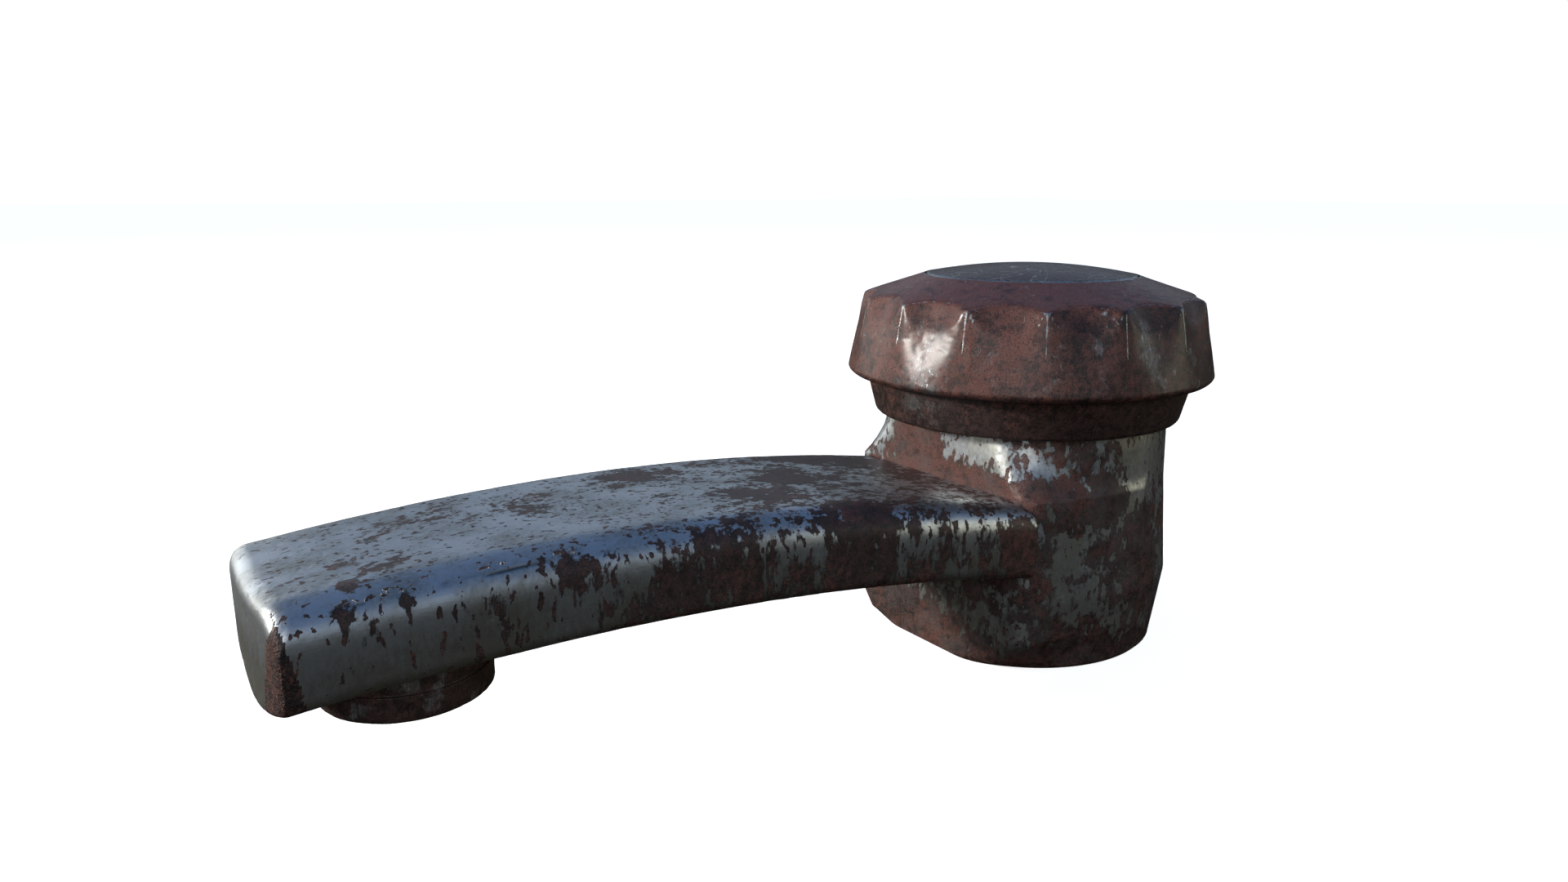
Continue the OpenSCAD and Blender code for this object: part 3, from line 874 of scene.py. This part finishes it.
def section_targets(stations, count):
    """Points evenly spaced round the spout's nominal outline at each station, from its middle."""
    h = (SIDE_H + 0.6 * BELLY) / 2
    across, up = [], []
    for w in half_width(stations):
        corners = np.cumsum([0, 2 * w, 2 * h, 2 * w, 2 * h])
        ahead = np.arange(count) / count * corners[-1]
        across.append(np.interp(ahead, corners, (-w, w, w, -w, -w)))
        up.append(np.interp(ahead, corners, (h, h, -h, -h, h)))
    return np.array(across), np.array(up)


def build_spout():
    """The spout, with the hole for its outlet."""
    step = chosen("mesh_step")
    turn_s = SPOUT_REACH - 12.4
    shape = spout_shape(chosen("spout_round"), chosen("corner_round"))
    stations = np.arange(PAD_TOP_S - 1.0, turn_s, step)
    count = int(104 / step)
    x, z = section_targets(stations, count)
    middle = crown(stations) - SIDE_H / 2
    lean = PAD_LEAN * (1 - smooth(stations, PAD_TOP_S + 2, PAD_TOP_S + 14))
    directions = np.stack([x, lean[:, None] * z, z], -1)
    directions /= np.linalg.norm(directions, axis=-1, keepdims=True)
    origins = np.zeros_like(directions)
    origins[..., 1] = -stations[:, None]
    origins[..., 2] = middle[:, None]
    body_rows = leave(origins, directions, REACH, shape)
    # from the last station the rays swing forward and close the end
    bend = np.radians(np.arange(0.9, 89.6, 0.75))
    x, z = section_targets(np.array([turn_s]), count)
    out = np.stack([x[0], np.zeros(count), z[0]], -1)
    out /= np.linalg.norm(out, axis=-1, keepdims=True)
    forward = np.array([0, -1.0, 0])
    directions = np.cos(bend)[:, None, None] * out + np.sin(bend)[:, None, None] * forward
    origins = np.zeros_like(directions)
    origins[...] = (0, -turn_s, crown(turn_s) - SIDE_H / 2)
    end_rows = leave(origins, directions, REACH, shape)
    tip = leave(origins[:1, 0], forward[None], REACH, shape)[0]
    root = np.array([0, -stations[0], middle[0]])
    obj = ring_mesh("spout_shell", np.concatenate([body_rows, end_rows]), False, root, tip)
    points = places(obj)
    away_from_root = smooth(-points[:, 1], 21, 24)
    wear_surface(obj, 0.7 * chosen("pitting"), away_from_root)
    outlet_low, outlet_high = box_mm("outlet_housing")
    outlet_y = (outlet_low[1] + outlet_high[1]) / 2
    cut(obj, [
        cutter_cylinder("outlet_seat", (0, outlet_y, 17.2), SEAT_HOLE_R, 14),
        cutter_cylinder("outlet_way", (0, outlet_y, 20), WAY_R, 20),
    ])
    shade(obj)
    points = places(obj)
    x, s, z = points[:, 0], -points[:, 1], points[:, 2]
    depth = crown(s) - z
    chipped = smooth(chip_depth(points) + 0.25 * fractal(points, 1.2, 3, 5.0), -0.05, 0.15)
    # Painted shade: a thin broken dark line 1.5 mm under the crown on the near side, where the top
    # meets the side's rounding.
    near_edge = np.exp(-((depth - 1.5) / 0.16) ** 2) * (x > 0)
    near_edge = near_edge * smooth(s, 70, 100) * smooth(-s, -129, -127)
    broken = smooth(fractal(points * (1, 0.35, 1), 2.0, 3, 9.0), -0.25, 0.25)
    spread = -0.22 + 0.26 * smooth(-s, -112, -40) + spots(points, SPOUT_PATCHES)
    spread = spread + 0.6 * smooth(-s, -27, -22) * smooth(depth, 2, 6)
    spread = spread + 0.16 * smooth(depth, 4, 9) * smooth(-s, -116, -88) * smooth(s, 36, 50)
    spread = np.where(chipped > 0.5, 1.2, spread - 0.35 * smooth(s, 128.6, 129.4))
    on_end = s > END_S
    paint(
        obj,
        place=points,
        grain=np.stack([1.6 * x, -s, 0.42 * z], -1),
        rusting=spread,
        fresh=0.5 * chipped * on_end + 0.25 * smooth(-s, -40, -22),
        # Painted reflection of the dark ground: the steel turns darker and olive down the sides, away
        # from the crown.
        stain=0.35 + 0.55 * smooth(depth, 3, 12),
        seam=near_edge * broken * 0.9,
        crust=chipped * np.where(on_end, 0.6, 1.0),
    )
    return obj


# Rust patches of the spout: centre, size along each axis, and how much rust they add
SPOUT_PATCHES = (
    ((-9, -76, 37), (4.2, 8, 6), 0.42),
    ((-2, -95, 37), (4.5, 6, 6), 0.40),
    ((-5, -107, 37), (5.0, 6, 6), 0.36),
    ((20, -76, 36), (4.5, 7, 4), 0.32),
    ((8, -63, 36), (6, 6, 6), 0.34),
    ((-1, -52, 35), (5, 5, 6), 0.42),
    ((-13, -38, 33), (4, 12, 6), 0.36),
    ((20, -52, 34), (5, 6, 5), 0.46),
    ((9, -116, 36), (3, 4, 3), 0.42),
    ((5, -120, 36), (1.4, 2, 3), 0.50),
    ((-8, -28, 35), (11, 6, 6), 0.34),
    ((12, -121, 36), (1.8, 1.5, 3), 0.55),
    ((-2, -115, 36), (2.5, 2, 4), 0.28),
    ((18, -95.5, 33.5), (3, 3.5, 3.5), 0.50),
    ((17, -115.6, 33.8), (2, 0.9, 2.2), 0.60),
    ((16, -119.6, 31.5), (2, 1.8, 2.6), 0.36),
    ((17, -106, 32.6), (2, 1.1, 2.2), 0.46),
    ((16, -122.3, 34), (2, 1.0, 2), 0.60),
    ((19, -77, 29), (3, 9, 4), 0.16),
    ((18, -84, 27), (3, 3, 4), 0.16),
    ((-17, -100, 29), (3, 9, 5), 0.26),
    ((-20, -60, 28), (3, 12, 5), 0.26),
    ((0, -60, 21), (12, 18, 3), 0.25),
)


# ---------------------------------------------------------------- turned pieces

def turned_piece(name, profile, corner, columns):
    """A piece turned from a closed profile, with its corners rounded and its skin worn."""
    fine = steps(rounded(profile, corner), chosen("mesh_step"))
    obj = ring_mesh(name, rings(fine, turn(columns)), loop=True)
    wear_surface(obj, chosen("pitting"))
    shade(obj)
    return obj


def radius_of(points):
    """Distance of each point from the tap's axis."""
    return np.hypot(points[:, 0], points[:, 1])


def corner_wear(points, corners, width):
    """1 at the given (radius, height) corners of a turned piece, falling off over a width."""
    r = radius_of(points)
    best = np.zeros(len(points))
    for radius, height in corners:
        away = np.hypot(r - radius, points[:, 2] - height)
        best = np.maximum(best, np.exp(-(away / width) ** 2))
    return best


def build_outlet():
    """The round collar under the spout's end."""
    low, high = box_mm("outlet_housing")
    r, bottom, top = (high[0] - low[0]) / 2, low[2], high[2]
    middle = (0, (low[1] + high[1]) / 2, 0)
    neck, bore, lip, shoulder = 10.6, 8.7, 7.6, 20.2
    profile = [
        (lip, bottom), (r - 0.4, bottom), (r, bottom + 0.4), (r, shoulder), (neck, shoulder),
        (neck, top), (bore, top), (bore, bottom + 0.7), (lip, bottom + 0.7),
    ]
    obj = turned_piece("outlet_collar", profile, 0.22, 180)
    points = places(obj)
    edge = corner_wear(points, [(r, bottom + 0.2), (lip, bottom)], 0.3)
    bare = 0.7 * smooth(points[:, 0], 2, 10) * smooth(fractal(points, 4.0, 3, 2.0), -0.1, 0.5)
    move(obj, points + middle)
    paint(obj, place=points + middle, edge=edge, bare=bare, fresh=np.zeros(len(points)))
    return obj


def build_shroud():
    """The bell shroud, with the web that the locknut clamps."""
    low, high = box_mm("bonnet_shroud")
    bottom, top, r = low[2], high[2], high[0]
    foot = r - 1.6
    joint = box_mm("knob")[0][2]
    web_r, web_low, web_high = 11.1, 47.05, 48.45
    profile = [
        (foot - 1.2, bottom), (foot - 0.4, bottom), (foot, bottom + 0.4), (r, joint - 0.3),
        (r - 0.3, joint + 0.1), (r - 0.3, top), (r - 1.7, top), (r - 1.7, web_high),
        (web_r, web_high), (web_r, web_low), (r - 1.9, web_low), (foot - 1.2, bottom + 1.8),
    ]
    obj = turned_piece("bonnet_bell", profile, 0.3, 400)
    points = places(obj)
    edge = corner_wear(points, [(foot, bottom + 0.2)], 0.35)
    bare = spots(points, (((2, -27, 44), (8, 5, 3), 0.8), ((25, -8, 45), (6, 8, 3), 0.35)))
    fresh = 0.2 - 0.2 * smooth(-points[:, 2], -46, -41)
    paint(obj, place=points, edge=edge, bare=bare, fresh=fresh)
    return obj


# ---------------------------------------------------------------- knob and cap

FLUTE_LEAN = 0.46    # how far a flute's floor leans in for each unit of height
FLUTE_DEPTH = 1.95   # depth of a flute at the rim
RIM_UP = 13.7        # height of the rim over the knob's lower edge
CAP_GAP = 0.3        # between the cap and its seat
# Hollows of the knob, as in the frame: heights, then radii
CAP_SEAT_Z, POCKET_Z, WEB_LOW_Z, HUB_Z, RECESS_Z, SHROUD_Z = 63, 59.8, 58.2, 52.2, 57, 50.9
POCKET_R, SCREW_R, HUB_R, RECESS_R, SKIRT_R = 6, 2.3, 9, 22.8, 29.1
SOCKET_HALF = 4.05   # half the width of the square socket


def knob_parts(sizes):
    """Distances of a point from each face of the knob: its side, top, lower edge and flutes."""
    low, high = box_mm("knob")
    bottom, r = low[2], high[0]
    rim_r, rim_z = r - 2.4, bottom + RIM_UP
    cap_r, cap_z = box_mm("knob_cap")[1][0] + CAP_GAP, high[2]
    side_rate = (rim_r - r) / (rim_z - bottom - 0.7)
    top_rate = (cap_z - rim_z) / (rim_r - cap_r)
    cutter = sizes.flute_cutter / MM
    tilt = math.atan(FLUTE_LEAN)
    centre = rim_r - FLUTE_DEPTH + cutter / math.cos(tilt)
    pitch = 2 * np.pi / sizes.flute_count

    def parts(p):
        x, y, z = p[..., 0], p[..., 1], p[..., 2]
        radius = np.hypot(x, y)
        side = (radius - r - side_rate * (z - bottom - 0.7)) * math.cos(math.atan(side_rate))
        top = (z - rim_z - top_rate * (rim_r - radius)) * math.cos(math.atan(top_rate))
        edge = (radius - z - (r - bottom - 0.7)) * math.sqrt(0.5)
        angle = np.arctan2(y, x) + np.pi / 2
        nearest = np.floor(angle / pitch)
        flutes = []
        for shift in (0, 1, -1):
            around = angle - (nearest + shift + 0.5) * pitch
            u, v = radius * np.cos(around), radius * np.sin(around)
            across = (u - centre) * math.cos(tilt) + (z - rim_z) * math.sin(tilt)
            flutes.append(cutter - np.hypot(v, across))
        return side, top, edge, bottom - z, flutes
    return parts


def build_knob():
    """The fluted knob, with its cap's seat, its square socket and its hollow underside."""
    sizes = bpy.context.scene.tap_sizes
    step = chosen("mesh_step")
    low, high = box_mm("knob")
    bottom, top_z = low[2], high[2]
    cap_r = box_mm("knob_cap")[1][0] + CAP_GAP
    rim_z = bottom + RIM_UP
    parts = knob_parts(sizes)
    ridge, rim = chosen("ridge_round"), chosen("rim_round")

    def shape(p):
        skin, top, edge, base, flutes = parts(p)
        soft = ridge + 1.3 * smooth(-p[..., 2], 1.5 - rim_z, 6 - rim_z)
        for flute in flutes:
            skin = soft_max(skin, flute, soft)
        skin = soft_max(skin, top, rim)
        return np.maximum(soft_max(skin, edge, 0.3), base)

    eye = np.array([0, 0, bottom + 5.0])
    per_flute = 4 * round(2 * np.pi * 31 / step / sizes.flute_count / 4)
    angles = turn(per_flute * sizes.flute_count)
    start, stop = math.atan2(-5.0, 31.2), math.atan2(top_z - eye[2], cap_r)
    rise = np.linspace(start, stop, int(26 / (0.75 * step)))
    directions = rings(np.stack([np.cos(rise), np.sin(rise)], 1), angles)
    outer = leave(np.broadcast_to(eye, directions.shape), directions, REACH, shape)
    # down into the cap's seat and the screw's pocket, through the hub, and out by the recess
    seat = steps([
        (cap_r, top_z - 0.15), (cap_r, CAP_SEAT_Z), (POCKET_R, CAP_SEAT_Z), (POCKET_R, POCKET_Z),
        (SCREW_R, POCKET_Z), (SCREW_R, WEB_LOW_Z),
    ], 1.2)
    square = SOCKET_HALF / np.maximum(np.abs(np.cos(angles)), np.abs(np.sin(angles)))
    socket = rings([(1, WEB_LOW_Z), (1, (WEB_LOW_Z + HUB_Z) / 2), (1, HUB_Z)], angles)
    socket[..., :2] *= square[:, None]
    under = steps([
        (HUB_R, HUB_Z), (HUB_R + 0.6, RECESS_Z), (RECESS_R, RECESS_Z), (RECESS_R + 0.8, SHROUD_Z),
        (SKIRT_R, SHROUD_Z), (SKIRT_R, bottom),
    ], 1.2)
    grid = np.concatenate([outer, rings(seat, angles), socket, rings(under, angles)])
    obj = ring_mesh("knob_shell", grid, loop=True)
    points = places(obj)
    radius, height = radius_of(points), points[:, 2]
    skin = smooth(radius, cap_r + 0.2, cap_r + 1.2) * smooth(height, bottom + 0.05, bottom + 0.8)
    skin = skin * (1 - (radius < SKIRT_R + 0.2) * (height < RECESS_Z + 0.5))
    wear_surface(obj, 0.8 * chosen("pitting"), skin)
    shade(obj)
    points = places(obj)
    paint(
        obj,
        place=points,
        edge=knob_edges(points, parts(points), rim_z, cap_r),
        bare=knob_bare(points),
        # Painted light: the rust turns fresh and brighter on the top face above the rim, where the
        # sky lights it; it is also fresher towards the spout side.
        fresh=0.35 * smooth(-points[:, 1], -6, 24) + 0.9 * smooth(points[:, 2], rim_z, rim_z + 0.4),
    )
    return obj


def knob_edges(points, parts, rim_z, cap_r):
    """The knob's worn lines: the rim, the upper end of each ridge, and the edge round the cap."""
    *plain, flutes = parts
    radius, height = radius_of(points), points[:, 2]
    faces = np.sort(np.stack([*plain, *flutes]), axis=0)
    rim = np.exp(-((faces[-1] - faces[-2]) / 0.16) ** 2) * np.exp(-(faces[-1] / 0.6) ** 2)
    rim = 0.75 * rim * smooth(height, rim_z - 4, rim_z - 1)
    pitch = 2 * np.pi / bpy.context.scene.tap_sizes.flute_count
    across = np.mod(np.arctan2(points[:, 1], points[:, 0]) + np.pi / 2, pitch)
    across = np.minimum(across, pitch - across) * radius
    ridges = smooth(height, rim_z - 8.5, rim_z - 6) * smooth(-height, -rim_z, 0.4 - rim_z)
    ridges = 0.80 * np.exp(-(across / 0.14) ** 2) * ridges
    round_cap = 0.9 * np.exp(-((radius - cap_r) / 0.3) ** 2) * (height > CAP_SEAT_Z + 0.5)
    return np.maximum(np.maximum(rim, ridges), round_cap)


def knob_bare(points):
    """How far each point of the knob has been rubbed bare."""
    angle = np.degrees(np.arctan2(points[:, 1], points[:, 0]))
    bare = np.zeros(len(points))
    for centre, height, wide, tall, amount in KNOB_PATCHES:
        away = ((angle - centre) / wide) ** 2 + ((points[:, 2] - height) / tall) ** 2
        bare += amount * np.exp(-away)
    return bare


# Rubbed areas of the knob's side: angle, height, width in degrees, height of the area, amount
KNOB_PATCHES = (
    (-79, 54, 11, 6, 0.55),
    (-79, 49, 9, 3, 0.45),
    (-103, 55, 7, 1.4, 0.55),
    (-56, 52, 8, 4, 0.40),
    (-44, 49, 7, 2.5, 0.40),
    (-38, 56, 3, 4, 0.60),
    (-27, 55, 4, 5, 0.45),
    (-25, 50, 6, 3, 0.35),
    (-10, 55, 4, 6, 0.95),
    (-3, 50, 5, 4, 0.45),
    (8, 52, 5, 5, 0.45),
    (60, 53, 14, 5, 0.5),
    (120, 55, 16, 4, 0.5),
    (170, 52, 12, 5, 0.5),
    (-140, 54, 14, 4, 0.6),
)


def build_cap():
    """The domed cap."""
    low, high = box_mm("knob_cap")
    r, seat, apex = high[0], low[2], high[2]
    rise = 1.8
    edge_z = apex - rise
    dome = (r * r + rise ** 2) / (2 * rise)
    outwards = np.arange(r - 0.35, 0.3, -chosen("mesh_step"))
    arc = [(a, apex - dome + math.sqrt(dome * dome - a * a)) for a in outwards]
    profile = steps([(0.4, seat), (r - 0.2, seat)], 1.2)
    profile += [(r, seat + 0.2), (r, edge_z - 0.3), (r - 0.1, edge_z - 0.1)]
    grid = rings(profile + arc, turn(300))
    obj = ring_mesh("cap_disc", grid, False, np.array([0, 0, seat]), np.array([0, 0, apex]))
    wear_surface(obj, 0.5 * chosen("pitting"), smooth(places(obj)[:, 2], edge_z - 0.1, edge_z + 0.2))
    shade(obj)
    points = places(obj)
    edge = corner_wear(points, [(r - 0.1, edge_z)], 0.4)
    bare = spots(points, (((0, 0, 66), (14, 9, 3), 0.35),))
    paint(obj, place=points, edge=edge, bare=bare, fresh=-0.2 + np.zeros(len(points)))
    return obj


# ---------------------------------------------------------------- stage

def build_floor():
    """A plain pale floor just under the base. It is clear from beneath, so that the base shows.

    It is pale to the camera and dim to the tap, so that the underside stays in shadow.
    """
    size, drop = 6000, 0.05
    corners = [(-size, -size, -drop), (size, -size, -drop), (size, size, -drop), (-size, size, -drop)]
    floor = mesh_object("floor", corners, [(0, 1, 2, 3)])
    material = bpy.data.materials.new("floor_paint")
    material.use_nodes = True
    t = Tree(material.node_tree)
    material.node_tree.nodes.clear()
    pale = t.node("ShaderNodeBsdfDiffuse", {"Color": (0.84, 0.82, 0.78)})
    glow = t.node("ShaderNodeEmission", {"Color": (1, 1, 1), "Strength": 0.84})
    lit = t.node("ShaderNodeAddShader")
    t.set(lit.inputs[0], pale.outputs[0])
    t.set(lit.inputs[1], glow.outputs[0])
    dim = t.node("ShaderNodeBsdfDiffuse", {"Color": (0.036, 0.031, 0.021)})
    clear = t.node("ShaderNodeBsdfTransparent")
    seen = t.node("ShaderNodeLightPath").outputs["Is Camera Ray"]
    beneath = t.node("ShaderNodeNewGeometry").outputs["Backfacing"]
    above = t.either(seen, dim.outputs[0], lit.outputs[0])
    output = t.node("ShaderNodeOutputMaterial")
    t.set(output.inputs["Surface"], t.either(beneath, above, clear.outputs[0]))
    floor.data.materials.append(material)


def build_world():
    """A soft sky: pale at the horizon, bluer above, and dim below. The camera sees plain white."""
    world = bpy.data.worlds.new("soft_sky")
    bpy.context.scene.world = world
    world.use_nodes = True
    t = Tree(world.node_tree)
    world.node_tree.nodes.clear()
    around = t.node("ShaderNodeTexCoord").outputs["Generated"]
    height = t.node("ShaderNodeSeparateXYZ", {"Vector": around}).outputs["Z"]
    sky = t.mix(t.step(height, 0.27, 0.52), (0.64, 0.74, 0.84), (0.10, 0.19, 0.38))
    sky = t.mix(t.step(height, 0.25, 0.10), sky, (0.075, 0.068, 0.045))
    lighting = t.node("ShaderNodeBackground", {"Color": sky, "Strength": 0.85})
    shown = t.node("ShaderNodeBackground", {"Color": (1, 1, 1), "Strength": 1.0})
    seen = t.node("ShaderNodeLightPath").outputs["Is Camera Ray"]
    output = t.node("ShaderNodeOutputWorld")
    t.set(output.inputs["Surface"], t.either(seen, lighting.outputs[0], shown.outputs[0]))


def area_light(name, direction, distance, size, power, tint):
    """A soft light that faces the tap."""
    data = bpy.data.lights.new(name, "AREA")
    data.shape = "DISK"
    data.size = size
    data.energy = power
    data.color = tint
    light = bpy.data.objects.new(name, data)
    aim = Vector((0, -0.05, 0.035))
    light.location = aim + Vector(direction).normalized() * distance
    light.rotation_euler = (aim - light.location).to_track_quat("-Z", "Y").to_euler()
    bpy.context.scene.collection.objects.link(light)


def build_lights():
    """Four soft lights: direction, distance, size, power and tint."""
    area_light("key_light", (-0.46, -0.86, 0.33), 1.2, 0.16, 15.0, (1.0, 0.96, 0.90))
    area_light("side_light", (-0.95, -0.28, 0.10), 0.9, 0.5, 1.2, (0.98, 0.99, 0.95))
    area_light("front_light", (0.74, -0.68, 0.36), 1.5, 0.9, 4.6, (1.0, 0.97, 0.95))
    area_light("fill_light", (0.72, 0.90, 0.05), 1.6, 0.8, 3.4, (1.0, 0.92, 0.66))


def build_camera():
    """The camera, close to the spout's side and a little above the knob."""
    data = bpy.data.cameras.new("camera")
    data.lens = 24.444
    data.sensor_width = 36.0
    data.clip_start = 0.005
    camera = bpy.data.objects.new("camera", data)
    camera.location = (0.1319, -0.1445, 0.0792)
    camera.rotation_euler = (math.radians(76.63), 0, math.radians(55.29))
    bpy.context.scene.collection.objects.link(camera)
    bpy.context.scene.camera = camera
    bpy.context.scene.view_settings.view_transform = "Standard"


# ---------------------------------------------------------------- operators

class TAP_OT_stage(bpy.types.Operator):
    """Makes the floor, sky, lights and camera"""
    bl_idname = "tap.stage"
    bl_label = "Stage"

    def execute(self, context):
        build_floor()
        build_world()
        build_lights()
        build_camera()
        return {"FINISHED"}


class TAP_OT_finishes(bpy.types.Operator):
    """Builds the shared effects that the materials use"""
    bl_idname = "tap.finishes"
    bl_label = "Shared effects"

    def execute(self, context):
        build_groups()
        return {"FINISHED"}


class TAP_OT_body(bpy.types.Operator):
    """Builds the rusted body casting"""
    bl_idname = "tap.body"
    bl_label = "Body"

    def execute(self, context):
        rust = context.scene.tap_finish.body_rust
        material = casting_material(
            "body_casting_finish", rust, patch=5.5, specks=0.80, freshness=0.35, dust=0.40,
            metal=0.62,
        )
        dress(build_body(), material, "root", "body_casting", "body")
        return {"FINISHED"}


class TAP_OT_spout(bpy.types.Operator):
    """Builds the worn steel spout"""
    bl_idname = "tap.spout"
    bl_label = "Spout"

    def execute(self, context):
        rust = context.scene.tap_finish.spout_rust
        material = casting_material(
            "spout_finish", rust, patch=4.6, specks=0.90, freshness=0.2, dust=0.06, metal=0.86,
        )
        dress(build_spout(), material, "root", "spout_steel", "spout")
        return {"FINISHED"}


class TAP_OT_outlet(bpy.types.Operator):
    """Builds the rusted outlet collar"""
    bl_idname = "tap.outlet"
    bl_label = "Outlet"

    def execute(self, context):
        material = rusted_material(
            "outlet_finish", freshness=0.0, wear=0.3, scratches=0.1, bare_share=-0.02,
        )
        dress(build_outlet(), material, "root", "rusted_fittings", "outlet_housing")
        return {"FINISHED"}


class TAP_OT_shroud(bpy.types.Operator):
    """Builds the bell shroud under the knob"""
    bl_idname = "tap.shroud"
    bl_label = "Shroud"

    def execute(self, context):
        material = rusted_material(
            "shroud_finish", freshness=0.1, wear=0.2, scratches=0.2, bare_share=-0.06,
        )
        dress(build_shroud(), material, "root", "shroud_iron", "bonnet_shroud")
        return {"FINISHED"}


class TAP_OT_knob(bpy.types.Operator):
    """Builds the fluted knob"""
    bl_idname = "tap.knob"
    bl_label = "Knob"

    def execute(self, context):
        material = rusted_material(
            "knob_finish", freshness=0.45, wear=0.62, scratches=0.5, bare_share=-0.03,
        )
        dress(build_knob(), material, "knob", "knob_iron", "knob")
        return {"FINISHED"}


class TAP_OT_cap(bpy.types.Operator):
    """Builds the domed cap in the top of the knob"""
    bl_idname = "tap.cap"
    bl_label = "Cap"

    def execute(self, context):
        material = rusted_material(
            "cap_finish", freshness=0.1, wear=0.6, scratches=0.8, bare_share=0.0,
        )
        dress(build_cap(), material, "knob", "cap_iron", "knob_cap")
        return {"FINISHED"}


class TAP_OT_inner_pieces(bpy.types.Operator):
    """Gives the valve, seals, screws and aerator their finishes"""
    bl_idname = "tap.inner_pieces"
    bl_label = "Inner pieces"

    def execute(self, context):
        values = context.scene.tap_finish
        made = {
            "brass_parts": turned_metal("turned_brass", values.brass[:]),
            "rubber_seals": moulded("seal_rubber", values.rubber[:], 0.62, 0.5),
            "plastic_inner": moulded("moulded_plastic", values.plastic[:], 0.42, 0.35),
            "screen_wire": turned_metal("screen_wire_finish", (0.5, 0.5, 0.49), 0.28),
            "fixing_steel": turned_metal("fixing_steel_finish", (0.42, 0.43, 0.44), 0.34),
        }
        for slot, names in INNER_PIECES.items():
            for name in names:
                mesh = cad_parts[name].data
                mesh.materials.clear()
                mesh.materials.append(made[slot])
        return {"FINISHED"}


# The frame's own nodes that keep their shape, by finish
INNER_PIECES = {
    "brass_parts": (
        "spout_spigot", "valve_seat", "headgear_body", "gland_nut", "shroud_locknut",
        "valve_plunger", "washer_screw", "spindle",
    ),
    "rubber_seals": (
        "aerator_washer", "base_seal", "headgear_seal", "valve_washer", "spindle_o_rings",
    ),
    "plastic_inner": ("aerator_insert", "thrust_washer"),
    "screen_wire": ("aerator_screen",),
    "fixing_steel": ("knob_screw", "knob_screw_washer"),
}

ORDER = ("stage", "finishes", "body", "spout", "outlet", "shroud", "knob", "cap", "inner_pieces")


class TAP_PT_sidebar(bpy.types.Panel):
    """Lists the tap's sizes, finishes and pieces"""
    bl_idname = "TAP_PT_sidebar"
    bl_label = "Worn pillar tap"
    bl_space_type = "VIEW_3D"
    bl_region_type = "UI"
    bl_category = "Tap"

    def draw(self, context):
        for group in (context.scene.tap_sizes, context.scene.tap_finish):
            column = self.layout.column()
            for name in group.__annotations__:
                column.prop(group, name)
        for name in ORDER:
            self.layout.operator(f"tap.{name}")


CLASSES = (
    TapSizes, TapFinish, TAP_OT_stage, TAP_OT_finishes, TAP_OT_body, TAP_OT_spout, TAP_OT_outlet,
    TAP_OT_shroud, TAP_OT_knob, TAP_OT_cap, TAP_OT_inner_pieces, TAP_PT_sidebar,
)


def register():
    """Adds the classes and the user's values."""
    for cls in CLASSES:
        bpy.utils.register_class(cls)
    bpy.types.Scene.tap_sizes = PointerProperty(type=TapSizes)
    bpy.types.Scene.tap_finish = PointerProperty(type=TapFinish)


def unregister():
    """Takes them away again."""
    del bpy.types.Scene.tap_finish
    del bpy.types.Scene.tap_sizes
    for cls in reversed(CLASSES):
        bpy.utils.unregister_class(cls)


def main():
    """Builds everything in order."""
    register()
    for name in ORDER:
        getattr(bpy.ops.tap, name)()


if __name__ == "__main__":
    main()
